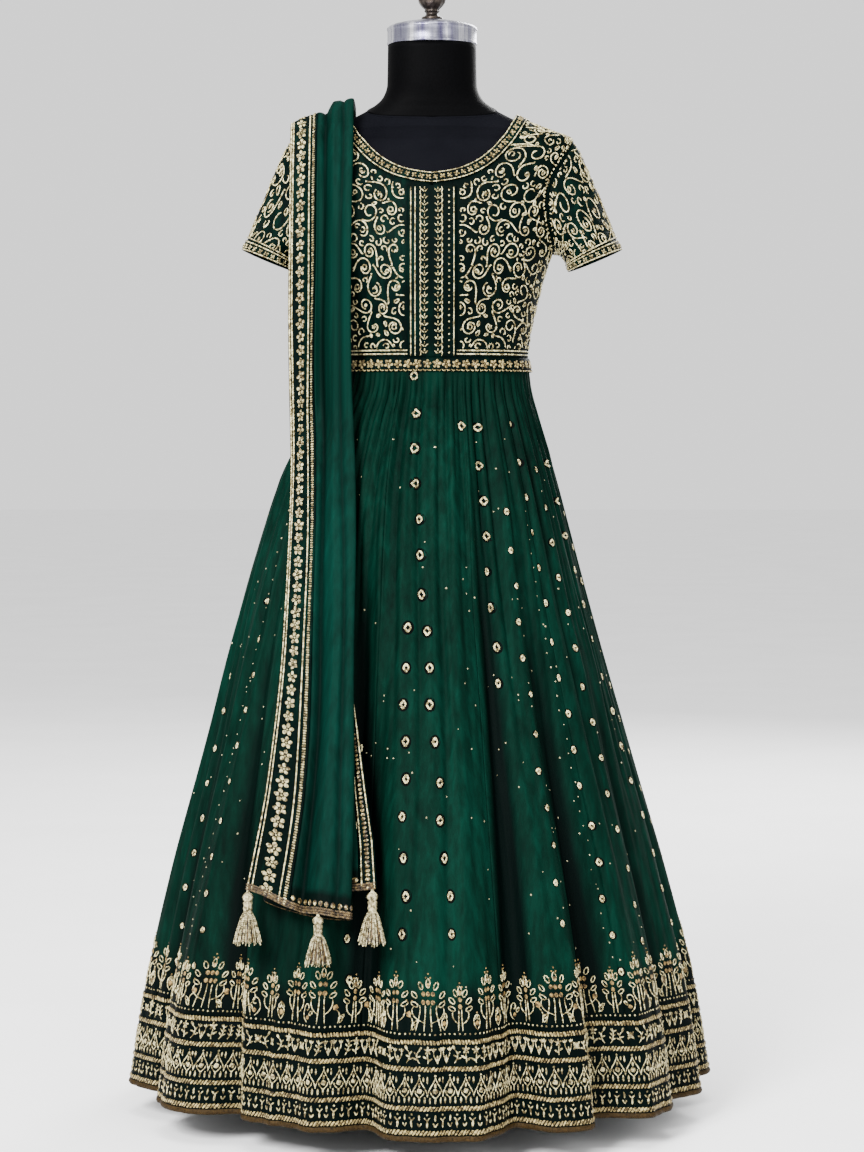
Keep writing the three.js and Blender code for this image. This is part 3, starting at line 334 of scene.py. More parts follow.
def armhole_round(turns):
    wrapped = turns % 1
    front = wrapped <= 0.5
    along = np.where(front, 1 - wrapped * 2, (wrapped - 0.5) * 2)
    angle, rise = armhole_at(along)
    return np.where(front, angle, 180 - angle), rise


# The cuff's centre, half sizes and tilt, how far the sleeve leaves and meets its ends, and
# a point inside the sleeve.
CUFF_X, CUFF_Z, CUFF_HALF_WIDTH, CUFF_HALF_DEPTH = 221, 1149, 37, 62
CUFF_TILT = math.radians(22)
LEAVE_LENGTH, ARRIVE_LENGTH = 46, 60
INSIDE_SLEEVE = np.array([196, 0, 1236])


def sleeve_point(turns, share):
    """Turns from the shoulder by the front, and share of the way out to the cuff."""
    turns, share = np.broadcast_arrays(np.asarray(turns, float), np.asarray(share, float))
    angle, rise = armhole_round(turns)
    start = body_point(angle, rise)
    ahead = body_point(*armhole_round(turns + 0.012))
    behind = body_point(*armhole_round(turns - 0.012))
    normal = normal_of(body_point, angle, rise, 0.5, 1)
    away = unit(np.cross(normal, unit(ahead - behind)))
    inward = INSIDE_SLEEVE - start
    away = away * np.where((away * inward).sum(-1, keepdims=True) < 0, -1, 1)
    start = start + away * 1.2 + normal * 0.9
    turn = TAU * turns
    across = CUFF_HALF_WIDTH * np.cos(turn)
    end_x, end_z = CUFF_X + across * math.cos(CUFF_TILT), CUFF_Z + across * math.sin(CUFF_TILT)
    end = vectors(end_x, -CUFF_HALF_DEPTH * np.sin(turn), end_z)
    leave_z = (-0.4 - 0.35 * np.cos(turn)) * LEAVE_LENGTH
    leave = vectors(0.82 * LEAVE_LENGTH, -14 * np.sin(turn), leave_z)
    arrive = np.array([math.sin(CUFF_TILT) * 1.1, 0, -math.cos(CUFF_TILT)]) * ARRIVE_LENGTH
    s = share[..., None]
    return (
        start * (1 + 2 * s) * (1 - s) ** 2
        + leave * s * (1 - s) ** 2
        + end * s * s * (3 - 2 * s)
        + arrive * s * s * (s - 1)
    )


def sleeve_out(turns, share):
    normal = normal_of(sleeve_point, turns, np.clip(share, 0.03, 0.97), 0.004, 0.02)
    turn = TAU * np.asarray(turns, float)
    outward = vectors(np.cos(turn), -np.sin(turn), 0.3 * np.cos(turn))
    return normal * np.where((normal * outward).sum(-1, keepdims=True) < 0, -1, 1)


# The scarf lies on a table of how far out the body, sleeve and skirt reach.
HANG_X, HANG_X_STEP, HANG_Z, HANG_Z_STEP = 60, 10, 1320, 12
SHOULDER_X, SHOULDER_Z = 190, 1310


def depth_at(x, z, column):
    """How far out the body, sleeve and skirt push the scarf."""

    def oval(reach, half, depth, power):
        inside = np.clip(1 - (reach / half) ** power, 0, None)
        return np.where(reach >= half, 0, depth * inside ** (1 / power))

    reach = np.abs(x)
    half, depth = follow(BODY, "z", "half", z), follow(BODY, "z", column, z)
    torso = oval(np.minimum(reach, 160), half, depth, BODY_POWER)
    rise = (z - 1212) / 104
    fade = np.clip((reach - 128) / 34, 0, 1)
    sleeve = np.where(np.abs(rise) < 1, 67 * np.sqrt(np.clip(1 - rise**2, 0, None)) * fade, 0)
    power = skirt_power((WAIST_SEAM_Z - z) / SKIRT_LENGTH)
    skirt = oval(reach, follow(SKIRT, "z", "left", z), follow(SKIRT, "z", column, z), power)
    return np.where(z > WAIST_SEAM_Z, np.maximum(torso, sleeve), skirt)


def ridge_at(x):
    slope = (NECK_POINT_Z - SHOULDER_Z) / (SHOULDER_X - NECK_HALF_WIDTH)
    return SHOULDER_Z + 1 + (SHOULDER_X - np.minimum(SHOULDER_X, np.abs(x))) * slope


def hang_table(column):
    xs = np.arange(HANG_X, 261, HANG_X_STEP)[:, None].astype(float)
    zs = np.arange(HANG_Z, 269, -HANG_Z_STEP)[None, :].astype(float)
    table = np.maximum.accumulate(depth_at(xs, zs, column), axis=1)
    for _ in range(3):
        for i in range(1, table.shape[1] - 1):
            table[:, i] = np.maximum(table[:, i], (table[:, i - 1] + table[:, i + 1]) / 2)
    return table


HANG = (hang_table("front"), hang_table("back"))


def hang_at(x, z, back):
    across = np.clip((np.abs(x) - HANG_X) / HANG_X_STEP, 0, HANG[0].shape[0] - 1.001)
    down = np.clip((HANG_Z - z) / HANG_Z_STEP, 0, HANG[0].shape[1] - 1.001)
    i, j = np.floor(across).astype(int), np.floor(down).astype(int)
    p, q = across - i, down - j

    def read(table):
        near = table[i, j] * (1 - q) + table[i, j + 1] * q
        far = table[i + 1, j] * (1 - q) + table[i + 1, j + 1] * q
        return near * (1 - p) + far * p

    return np.where(back, read(HANG[1]), read(HANG[0]))


def scarf_down(along):
    """Share of the way down each end of the scarf."""
    return np.where(
        along > 0.5,
        (along - SCARF_BACK_START) / (1 - SCARF_BACK_START),
        (SCARF_FRONT_END - along) / SCARF_FRONT_END,
    )


def scarf_path(x, along, hem):
    turn_z = ridge_at(x) - SCARF_TURN_DROP
    back = along > 0.5
    hang_z = turn_z + (hem - turn_z) * scarf_down(along)
    out = hang_at(x, hang_z, back) + SCARF_EASE
    turn = ((along - SCARF_FRONT_END) / (SCARF_BACK_START - SCARF_FRONT_END) - 0.5) * math.pi
    low = np.full(x.shape, 10.0)
    high = np.full(x.shape, 140.0)
    for _ in range(18):
        middle = (low + high) / 2
        y = middle * np.abs(np.sin(turn))
        z = turn_z + middle * np.cos(turn)
        inside = (z < ridge_at(x)) & (y < hang_at(x, z, turn > 0))
        low = np.where(inside, middle, low)
        high = np.where(inside, high, middle)
    radius = low + SCARF_EASE
    hanging = (along < SCARF_FRONT_END) | (along > SCARF_BACK_START)
    return (
        np.where(hanging, np.where(back, out, -out), radius * np.sin(turn)),
        np.where(hanging, hang_z, turn_z + radius * np.cos(turn)),
    )


def first_valley(down):
    return 0.262 + 0.01 * np.sin(5 * down + 1)


def second_valley(down):
    return 0.405 - 0.008 * np.sin(4 * down)


def bump_at(share, centre, width):
    """A smooth rise round one share of the scarf's width."""
    return np.exp(-(((share - centre) / width) ** 2))


def scarf_point(share, along):
    share, along = np.broadcast_arrays(np.asarray(share, float), np.asarray(along, float))
    back = along > 0.5
    down = np.clip(scarf_down(along), 0, 1)


    def read(column):
        ends = (follow(table, "down", column, down) for table in (SCARF_BACK, SCARF_FRONT))
        return np.where(back, *ends)

    outer, inner, height, peek = (read(name) for name in ("outer", "inner", "height", "peek"))
    hidden = 15 * (1 - np.clip((down - 0.76) / 0.18, 0, 1))
    peek = (peek - hidden) * np.clip((share - 0.85) / 0.15, 0, None)
    across = follow(SCARF_SECTION, "share", "across", share)
    # The folds sway a little, unevenly, on the way down.
    loose = np.clip(share * 12, 0, 1) * np.clip((1 - share) * 12, 0, 1)
    sway = 1.9 * np.sin(7.3 * down + 9 * share) + 1.1 * np.sin(17 * down + 21 * share + 2)
    x = outer + (inner - outer) * across + peek + sway * loose * np.clip(down * 3, 0, 1)
    hem = np.where(back, *(follow(SCARF_HEM, "share", end, share) for end in ("back", "front")))
    hem = hem + 3 * np.sin(15 * share + 1.2) * np.clip(down * 4 - 3, 0, 1)
    y, z = scarf_path(x, along, hem)
    y0, z0 = scarf_path(x, along - 0.004, hem)
    y1, z1 = scarf_path(x, along + 0.004, hem)
    length = np.hypot(y1 - y0, z1 - z0)
    crease = 0.05 * np.sin(11 * down + 14 * share) + 0.04 * np.sin(23 * down - 17 * share + 1)
    fold = 0.26 * bump_at(share, 0.33 + 0.008 * np.sin(6 * down), 0.022)
    fold = fold - 0.34 * bump_at(share, first_valley(down), 0.02)
    fold = fold - 0.22 * bump_at(share, second_valley(down), 0.012)
    out = (follow(SCARF_SECTION, "share", "out", share) + fold + crease * loose) * height
    return vectors(x, y - out * (z1 - z0) / length, z + out * (y1 - y0) / length)


def scarf_out(share, along):
    return normal_of(scarf_point, share, np.clip(along, 0.005, 0.995), 0.006, 0.004)


# ---- mesh making ----


def make(name, points, faces, material, uv=None, dark=None, stands=False):
    """A mesh piece from points in millimetres, riding on the part."""
    mesh = bpy.data.meshes.new(name)
    mesh.from_pydata((np.asarray(points) * MM).tolist(), [], faces)
    mesh.polygons.foreach_set("use_smooth", [True] * len(mesh.polygons))
    if uv is not None:
        layer = mesh.uv_layers.new(name="cloth")
        index = np.empty(len(mesh.loops), int)
        mesh.loops.foreach_get("vertex_index", index)
        layer.data.foreach_set("uv", np.asarray(uv, float)[index].ravel())
    # The dark attribute marks where the cloth shows dark ground, and where shade in folds and
    # valleys is painted.
    if dark is not None:
        attribute = mesh.attributes.new("dark", "FLOAT", "POINT")
        attribute.data.foreach_set("value", dark.ravel())
    mesh.update()
    piece = bpy.data.objects.new(name, mesh)
    bpy.context.scene.collection.objects.link(piece)
    mesh.materials.append(material)
    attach(piece, "root")
    if stands:
        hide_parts(name.lower())
    return piece


def grid_faces(rows, columns, closed=True, flip=False):
    """Quads over a grid of points that is numbered row by row."""
    index = np.arange(rows * columns).reshape(rows, columns)
    if closed:
        index = np.concatenate([index, index[:, :1]], axis=1)
    a, b, c, d = index[:-1, :-1], index[:-1, 1:], index[1:, 1:], index[1:, :-1]
    return np.stack([a, d, c, b] if flip else [a, b, c, d], -1).reshape(-1, 4)


def ribbon_faces(first):
    """Two quads a step along a ribbon of three points across."""
    return np.concatenate(
        [np.stack([first + k, first + k + 1, first + k + 4, first + k + 3], -1) for k in (0, 1)]
    )


def shell(
    name, outer, inner, material, uv,
    closed=False, dark=None,
):
    """A sheet of cloth: a thin closed wall between two grids of points."""
    quads = grid_faces(*outer.shape[:2], closed)
    middle = quads[len(quads) // 2]
    p = outer.reshape(-1, 3)[middle]
    facing = np.cross(p[2] - p[0], p[3] - p[1])
    if np.dot(facing, (outer - inner).reshape(-1, 3)[middle[0]]) < 0:
        quads = quads[:, ::-1]
    under = outer.shape[0] * outer.shape[1]
    edges = np.concatenate([quads[:, [k, (k + 1) % 4]] for k in range(4)])
    key = np.sort(edges, axis=1)
    _, first, count = np.unique(key, axis=0, return_index=True, return_counts=True)
    rim = edges[first[count == 1]]
    rim = np.stack([rim[:, 1], rim[:, 0], rim[:, 0] + under, rim[:, 1] + under], -1)
    faces = np.concatenate([quads, quads[:, ::-1] + under, rim]).tolist()
    points = np.concatenate([outer.reshape(-1, 3), inner.reshape(-1, 3)])
    if dark is not None:
        dark = np.tile(dark.reshape(-1), 2)
    uv = np.tile(uv.reshape(-1, 2), (2, 1))
    piece = make(name, points, faces, material, uv, dark, True)


def runs(lines, keep):
    """Cuts lines where they leave the cloth that they are sewn to."""
    kept = []
    for line in lines:
        inside = keep(line)
        start = None
        for i, ok in enumerate([*inside, False]):
            if ok and start is None:
                start = i
            if not ok and start is not None:
                if i - start >= 3:
                    kept.append(line[start:i])
                start = None
    return kept


def cords(lines, place, width, height, lift=0.1):
    """Raised cords along lines of a chart: points, UV and faces."""
    lines = [line for line in lines if len(line) > 1]
    sizes = [len(line) for line in lines]
    flat = np.concatenate(lines)
    point, normal = place(flat)
    ahead = np.roll(point, -1, axis=0)
    behind = np.roll(point, 1, axis=0)
    ends = np.cumsum(sizes) - 1
    starts = ends - np.array(sizes) + 1
    ahead[ends] = point[ends]
    behind[starts] = point[starts]
    side = unit(np.cross(normal, unit(ahead - behind)))
    step = np.linalg.norm(point - behind, axis=-1)
    step[starts] = 0
    run = np.cumsum(step)
    run = run - np.repeat(run[starts], sizes)
    taper = np.ones((len(flat), 1))
    taper[starts] = taper[ends] = 0.45
    left = point + side * width / 2 * taper + normal * lift * 0.2
    top = point + normal * (lift + height * taper)
    right = point - side * width / 2 * taper + normal * lift * 0.2
    points = np.stack([left, top, right], axis=1).reshape(-1, 3)
    uv = np.stack([np.repeat(run, 3), np.tile([0.0, 0.5, 1.0], len(flat))], axis=-1)
    return points, uv, ribbon_faces(np.setdiff1d(np.arange(len(flat)), ends) * 3)


def pads(outlines, place, height, lift=0.1):
    """Padded stitches: each outline filled, raised along its middle."""
    parts = []
    by_size = {}
    for outline in outlines:
        by_size.setdefault(len(outline), []).append(outline)
    for size, group in by_size.items():
        flat = np.stack(group)
        centre = flat.mean(axis=1, keepdims=True)
        inner = centre + (flat - centre) * 0.5
        every = np.concatenate([flat, inner, centre], axis=1)
        point, normal = place(every.reshape(-1, 2))
        rise = np.concatenate([np.zeros(size), np.full(size, 0.8 * height), [height]])
        point = point + normal * np.tile(rise + lift * 0.3, len(group))[:, None]
        k = np.arange(size)
        n = (k + 1) % size
        quad = np.stack([k, n, n + size, k + size], -1)
        fan = np.stack([k + size, n + size, np.full(size, 2 * size)], -1)
        base = (np.arange(len(group)) * (2 * size + 1))[:, None, None]
        faces = [(one[None] + base).reshape(-1, one.shape[1]) for one in (quad, fan)]
        parts.append((point, (every - centre).reshape(-1, 2), *faces))
    return parts


def merge(name, parts, material, stands=False):
    """One piece from parts, each of points, UV and lists of faces."""
    faces, start = [], 0
    for points, _, *sets in parts:
        for part_faces in sets:
            faces.extend((part_faces + start).tolist())
        start += len(points)
    points, uv = (np.concatenate([part[k] for part in parts]) for k in (0, 1))
    return make(name, points, faces, material, uv, None, stands)


# ---- flat stitch shapes, in millimetres ----


def at(shape, x=0.0, y=0.0, scale=1.0, turn=0.0, flip=1):
    """A flat shape moved, turned and scaled."""
    c, s = math.cos(turn), math.sin(turn)
    p = np.asarray(shape, float) * scale
    px = p[:, 0] * flip
    return np.stack([x + px * c - p[:, 1] * s, y + px * s + p[:, 1] * c], -1)


def ellipse(a, b, n=10, x=0.0, y=0.0):
    t = np.arange(n) / n * TAU
    return np.stack([x + a * np.cos(t), y + b * np.sin(t)], -1)


def closed(shape):
    return np.concatenate([shape, shape[:1]])


def drop(length, width, n, x=0.0, y=0.0, turn=0.0):
    """A teardrop that stands on its point at x, y."""
    t = np.arange(n) / n * TAU
    up = length * (0.5 - 0.5 * np.cos(t))
    out = width / 2 * np.sin(t) * (0.35 + 0.65 * (up / length)) * 1.25
    return at(np.stack([out, up], -1), x, y, 1, turn)


def leaf(length, width, n, x=0.0, y=0.0, turn=0.0):
    t = np.arange(n) / n * TAU
    up = length * (0.5 - 0.5 * np.cos(t))
    out = width / 2 * np.sin(t) * np.abs(np.sin(t)) ** 0.3
    return at(np.stack([out, up], -1), x, y, 1, turn)


def flower(petals, length, width, n, x, y, spin=0.0):
    return [leaf(length, width, n, x, y, petal * TAU / petals + spin) for petal in range(petals)]


def curl(radius, turns, start, hand, n):
    """A spiral from its outer end inwards."""
    t = np.linspace(0, 1, n)
    a = start + hand * TAU * turns * t
    r = radius * (1 - 0.55 * t) * (1 + 0.09 * np.sin(2 * a + 5 * start))
    return np.stack([r * np.cos(a), r * np.sin(a)], -1)


def bezier(p0, p1, p2, p3, n):
    t = np.linspace(0, 1, n)[:, None]
    p0, p1, p2, p3 = (np.asarray(p, float) for p in (p0, p1, p2, p3))
    return p0 * (1 - t) ** 3 + 3 * p1 * t * (1 - t) ** 2 + 3 * p2 * t * t * (1 - t) + p3 * t**3


def rosette(radius, petals, n, notch=0.36):
    t = np.arange(n) / n * TAU
    r = radius * (1 - notch + notch * np.abs(np.cos(petals * t / 2)))
    return np.stack([r * np.cos(t), r * np.sin(t)], -1)


ROW_PITCH = 0.86  # of a scroll's rows against its columns
CLEAR_OF_LINES = 6.2


def scroll(left, right, low, high, seed, pitch=30.0):
    """Loops and spirals joined by tendrils, with leaves and drops in what is left between them."""
    local = np.random.default_rng(seed)
    lines, filled, centres = [], [], []
    for j in range(int((high - low) / (pitch * ROW_PITCH)) + 1):
        for i in range(int((right - left) / pitch) + 1):
            x = left + (i + 0.5 * (j % 2)) * pitch + local.uniform(-3.4, 3.4)
            y = low + j * pitch * ROW_PITCH + local.uniform(-3.2, 3.2)
            centres.append((x, y, local.uniform(8.2, 13.4)))
    centres = np.array(centres)
    for cu, cv, radius in centres:
        hand = 1 if local.uniform() < 0.5 else -1
        begin = local.uniform(0, TAU)
        turns = local.uniform(0.6, 1.15)
        spiral = at(curl(radius, turns, begin, hand, int(8 + radius * turns * 1.4)), cu, cv)
        heading = unit((spiral[0] - spiral[1])[None])[0]
        away = np.hypot(centres[:, 0] - cu, centres[:, 1] - cv)
        toward = ((centres[:, :2] - spiral[0]) * heading).sum(-1)
        choice = np.where((away > 1) & (away < pitch * 1.5), toward, -99)
        target = centres[int(np.argmax(choice))]
        reach = unit((spiral[0] - target[:2])[None])[0]
        turned_reach = np.array([-reach[1], reach[0]]) * hand
        landing = target[:2] + (reach * 0.8 + turned_reach * 0.6) * (target[2] + 0.5)
        leaving = spiral[0] + heading * pitch * 0.34
        tendril = bezier(landing, landing + turned_reach * 6, leaving, spiral[0], 8)
        lines.append(np.concatenate([tendril[:-1], spiral]))
        kind = int(local.integers(0, 7))
        if kind == 0:
            lines.append(closed(at(rosette(3.6, 5, 15, 0.3), cu, cv)))
        elif kind == 1:
            lines.append(closed(drop(6.4, 4.6, 9, cu, cv - 3, local.uniform(-1, 1))))
        elif kind == 2:
            filled += flower(5, 3.6, 1.9, 6, cu, cv, begin)
        elif kind == 3:
            filled.append(at(rosette(2.7, 4, 12), cu, cv))
        elif kind == 4:
            lines.append(at(curl(3.4, 0.7, -begin, -hand, 7), cu, cv))
        for _ in range(int(local.integers(0, 3))):
            a = local.uniform(0, TAU)
            base = (cu + (radius + 0.5) * math.cos(a), cv + (radius + 0.5) * math.sin(a))
            lean = a - math.pi / 2 + hand * 0.8
            if local.uniform() < 0.55:
                size = local.uniform(5, 7.5)
                lines.append(closed(drop(size, size * 0.56, 8, *base, lean)))
            else:
                filled.append(leaf(local.uniform(4.5, 6.5), 2.3, 6, *base, lean))
    drawn = np.concatenate(lines)
    u, v = np.meshgrid(np.arange(left, right, 5.0), np.arange(low, high, 5.0))
    spots = np.stack([u.ravel(), v.ravel()], -1) + local.uniform(-2, 2, (u.size, 2))
    for spot in spots:
        clear = float(np.sqrt(((drawn - spot) ** 2).sum(-1).min()))
        if clear < CLEAR_OF_LINES:
            continue
        size = min(clear, 9) - 2.6
        pick = local.uniform()
        turn = local.uniform(0, TAU)
        if pick < 0.8:
            added = at(curl(size, 0.8, turn, 1 if pick < 0.3 else -1, 9), *spot)
            lines.append(added)
        else:
            added = at(drop(size * 1.9, size * 1.05, 9) - (0, size * 0.95), *spot, 1, turn)
            lines.append(closed(added))
        drawn = np.concatenate([drawn, added])
    return lines, filled, []


# ---- materials ----


class Shader:
    """A small helper that adds and links nodes of one material."""

    def __init__(self, name):
        self.material = bpy.data.materials.new(name)
        self.material.use_nodes = True
        self.tree = self.material.node_tree

    def set(self, socket, value):
        if isinstance(value, bpy.types.NodeSocket):
            self.tree.links.new(value, socket)
        elif isinstance(value, tuple) and socket.type == "RGBA":
            socket.default_value = (*value, 1)
        else:
            socket.default_value = value

    def add(self, kind, **inputs):
        """A new node, with its inputs set by name."""
        made = self.tree.nodes.new("ShaderNode" + kind)
        for name, value in inputs.items():
            self.set(made.inputs[name], value)
        return made

    def mapped(self, scale, source):
        place = self.add("TexCoord").outputs[source]
        return self.add("Mapping", Scale=scale, Vector=place).outputs["Vector"]

    def noise(self, scale, detail, roughness, source="Object"):
        vector = self.mapped(scale, source)
        made = self.add("TexNoise", Scale=1.0, Detail=detail, Roughness=roughness, Vector=vector)
        return made.outputs["Fac"]

    def wave(self, scale, distortion, direction, mapping=(1, 1, 1), source="UV"):
        vector = self.mapped(mapping, source)
        made = self.add("TexWave", Scale=scale, Distortion=distortion, Vector=vector)
        made.bands_direction = direction
        return made.outputs["Fac"]

    def ramp(self, value, stops):
        made = self.add("ValToRGB", Fac=value)
        elements = made.color_ramp.elements
        while len(elements) < len(stops):
            elements.new(0.5)
        for element, (position, colour) in zip(elements, stops):
            element.position = position
            element.color = (*colour, 1)
        return made.outputs["Color"]

    def mix(self, share, first, second):
        made = self.add("Mix")
        made.data_type = "RGBA"
        for index, value in ((0, share), (6, first), (7, second)):
            self.set(made.inputs[index], value)
        return made.outputs[2]

    def maths(self, operation, first, second):
        made = self.add("Math")
        made.operation = operation
        self.set(made.inputs[0], first)
        self.set(made.inputs[1], second)
        return made.outputs[0]

    def sum(self, *terms):
        """Adds (socket, factor) terms, and a plain number in the last place."""
        scaled = [self.maths("MULTIPLY", *t) if isinstance(t, tuple) else t for t in terms]
        return self.maths("ADD", *scaled)

    def bump(self, height, strength, distance, normal=None):
        made = self.add("Bump", Strength=strength, Distance=distance, Height=height)
        if normal is not None:
            self.set(made.inputs["Normal"], normal)
        return made.outputs["Normal"]

    def finish(self, colour, roughness, normal=None, metallic=0.0, specular=0.5):
        inputs = self.tree.nodes["Principled BSDF"].inputs
        self.set(inputs["Base Color"], colour)
        self.set(inputs["Roughness"], roughness)
        self.set(inputs["Metallic"], metallic)
        self.set(inputs["Specular IOR Level"], specular)
        if normal is not None:
            self.set(inputs["Normal"], normal)
        return self.material


def cloth(name, deep, mid, light, ground, weave, crease_streak_strength=1.0):
    """Georgette: vertical streaks of painted crease light and shade, bumped as well, a crepe weave,
    and a dark colour where the dark attribute is set: the border's own dark ground, and painted
    shade in folds and valleys.
    """
    s = Shader(name)
    # Painted light and shade of fine vertical creases: these streaks tint the colour and also bump
    # the cloth.
    crease_streaks = s.noise((95, 95, 2.2), 4.0, 0.6)
    broad = s.noise((9, 9, 1.6), 2.0, 0.5)
    tone = s.sum((crease_streaks, 0.62 * crease_streak_strength), (broad, 0.45))
    colour = s.ramp(tone, [(0.32, deep), (0.55, mid), (0.78, light)])
    crepe = s.noise((900, 900, 700), 2.0, 0.6)
    colour = s.mix(s.maths("MULTIPLY", crepe, 0.22), colour, deep)
    # Painted shade: the dark attribute mixes in a dark colour, which is also the border's own dark
    # ground.
    marked = s.add("Attribute")
    marked.attribute_name = "dark"
    shade = s.ramp(broad, [(0.3, ground), (0.75, tuple(1.7 * c for c in ground))])
    colour = s.mix(marked.outputs["Fac"], colour, shade)
    threads = s.sum((s.wave(420, 1.2, "X"), 0.5), (s.wave(380, 1.4, "Y"), 0.5))
    normal = s.bump(threads, weave, 0.0003)
    normal = s.bump(crepe, 0.35, 0.0006, normal)
    normal = s.bump(crease_streaks, 0.45, 0.0022, normal)
    return s.finish(colour, s.sum((crepe, 0.2), 0.5), normal, 0.0, 0.02)


def thread(name, dark, mid, light, metallic=0.0, roughness=0.5, twist=0.3):
    """Twisted metallic thread: painted light and shade on the twists along the cord, and speckles
    of painted highlight and shade.
    """
    s = Shader(name)
    twists = s.wave(twist, 0.5, "DIAGONAL", (1, 1.3, 1))
    # Painted highlights and shade: this speckle noise tints the thread's colour, and also bumps it.
    glint_speckle = s.noise((260, 260, 260), 3.0, 0.6)
    tone = s.maths("SUBTRACT", s.sum((twists, 0.25), (glint_speckle, 1.5)), 0.35)
    colour = s.ramp(tone, [(0.34, dark), (0.5, mid), (0.68, light)])
    normal = s.bump(glint_speckle, 0.5, 0.0008, s.bump(twists, 0.8, 0.0005))
    return s.finish(colour, roughness, normal, metallic, 0.3)


def speckled(name, scale, detail, grain, stops, bump, roughness, metallic=0.0, specular=0.5):
    """A fine noise that gives the colour, a low bump and, when a pair is given, the roughness."""
    s = Shader(name)
    fine = s.noise(scale, detail, grain)
    if isinstance(roughness, tuple):
        roughness = s.sum((fine, roughness[0]), roughness[1])
    normal = s.bump(fine, *bump) if bump else None
    return s.finish(s.ramp(fine, stops), roughness, normal, metallic, specular)


GOWN = cloth(
    "gown georgette",
    (0, 0.0028, 0.0017),
    (0, 0.0098, 0.0058),
    (0.0001, 0.0215, 0.0132),
    (0.0001, 0.0011, 0.0009),
    0.25,
)
SCARF = cloth(
    "scarf georgette",
    (0, 0.006, 0.004),
    (0, 0.0165, 0.0112),
    (0.0001, 0.032, 0.022),
    (0, 0.0014, 0.001),
    0.2,
    0.7,
)
GROUND = cloth(
    "embroidered ground",
    (0, 0.0008, 0.0006),
    (0, 0.0024, 0.0018),
    (0.0001, 0.0105, 0.0068),
    (0, 0.0007, 0.0006),
    0.3,
)
OUTLINE = cloth(
    "dark outline",
    (0, 0.0004, 0.0003),
    (0, 0.0007, 0.0006),
    (0.0001, 0.0014, 0.0011),
    (0, 0.0005, 0.0004),
    0.2,
)
CORD = thread("cream gold cord", (0.025, 0.014, 0.003), (0.22, 0.17, 0.058), (0.78, 0.71, 0.4))
ZARI = thread(
    "zari braid", (0.016, 0.009, 0.002), (0.13, 0.087, 0.025), (0.6, 0.48, 0.21), 0.2, 0.4, 0.5
)
PAD = thread(
    "padded stitches", (0.02, 0.011, 0.003), (0.16, 0.11, 0.032), (0.74, 0.66, 0.35), twist=0.6
)
END_CORD = thread(
    "end cord", (0.004, 0.002, 0.0006), (0.022, 0.012, 0.004), (0.13, 0.085, 0.03), 0.1
)
HEART = thread(
    "gold brown stitches", (0.018, 0.009, 0.002), (0.105, 0.06, 0.016), (0.34, 0.225, 0.07), 0.1
)
TASSEL = thread(
    "tassel thread", (0.03, 0.022, 0.007), (0.18, 0.145, 0.06), (0.66, 0.6, 0.35), roughness=0.6
)
BINDING = speckled(
    "hem binding", (500, 500, 300), 3.0, 0.6,
    [(0.3, (0.003, 0.0018, 0.0007)), (0.7, (0.04, 0.024, 0.008))], (0.4, 0.0006), 0.6, 0.0, 0.05,
)
SEQUIN = speckled(
    "sequins", (300, 300, 300), 2.0, 0.5,
    [(0.3, (0.11, 0.095, 0.045)), (0.7, (0.42, 0.38, 0.22))], (0.25, 0.0004), 0.28, 0.35,
)
NECK = speckled(
    "neck cover", (420, 420, 420), 3.0, 0.6,
    [(0.3, (0.0003, 0.0003, 0.0004)), (0.7, (0.0007, 0.0007, 0.0009))], (0.25, 0.0005), 0.62,
    0.0, 0.02,
)
BRONZE = speckled(
    "bronze paint", (160, 160, 160), 4.0, 0.6,
    [(0.3, (0.008, 0.006, 0.005)), (0.6, (0.03, 0.022, 0.017)), (0.8, (0.12, 0.09, 0.065))],
    (0.3, 0.0008), 0.36, 0.75,
)
STAND = speckled(
    "stand paint", (260, 260, 260), 3.0, 0.6,
    [(0.3, (0.006, 0.006, 0.007)), (0.75, (0.02, 0.02, 0.022))], (0.2, 0.0004), (0.3, 0.3), 0.4,
)


def make_jersey():
    s = Shader("form jersey")
    fine = s.noise((700, 700, 700), 3.0, 0.6)
    broad = s.noise((14, 14, 14), 2.0, 0.5)
    tone = s.sum((fine, 0.5), (broad, 0.5))
    colour = s.ramp(tone, [(0.35, (0.0015, 0.0016, 0.0025)), (0.65, (0.003, 0.0031, 0.0044))])
    knit = s.wave(1.0, 0.8, "Z", (520, 520, 520), "Object")
    return s.finish(colour, 0.85, s.bump(fine, 0.3, 0.0006, s.bump(knit, 0.2, 0.0003)), 0.0, 0.02)


def make_chrome():
    s = Shader("chrome")
    brushed = s.noise((90, 90, 3), 4.0, 0.65)
    scratch = s.noise((30, 30, 900), 2.0, 0.5)
    stops = [(0.3, (0.05, 0.045, 0.09)), (0.52, (0.2, 0.2, 0.25)), (0.75, (0.62, 0.62, 0.64))]
    rough = s.sum((scratch, 0.25), 0.16)
    return s.finish(s.ramp(brushed, stops), rough, s.bump(scratch, 0.12, 0.0003), 0.9)


JERSEY, CHROME = make_jersey(), make_chrome()

# ---- dress form ----

FORM_SIDES = 112
FORM_LOW_RISE, TORSO_TOP_RISE = -226, 318
TORSO_LOW_Z, NECK_TOP_Z = 780, 1437.7
CAP_TOP_Z = 1472


def inset_at(rise):
    over = np.minimum(np.clip((rise - 255) / 45, 0, 1), np.clip((440 - rise) / 40, 0, None))
    point = np.clip(1 - np.abs(rise - SHOULDER_RISE) / 36, 0, None)
    return 4 + 2 * over + 4.5 * point


def form_point(angle, rise):
    normal = normal_of(body_point, angle, rise, 0.5, 1)
    return body_point(angle, rise) - normal * np.asarray(inset_at(rise))[..., None]


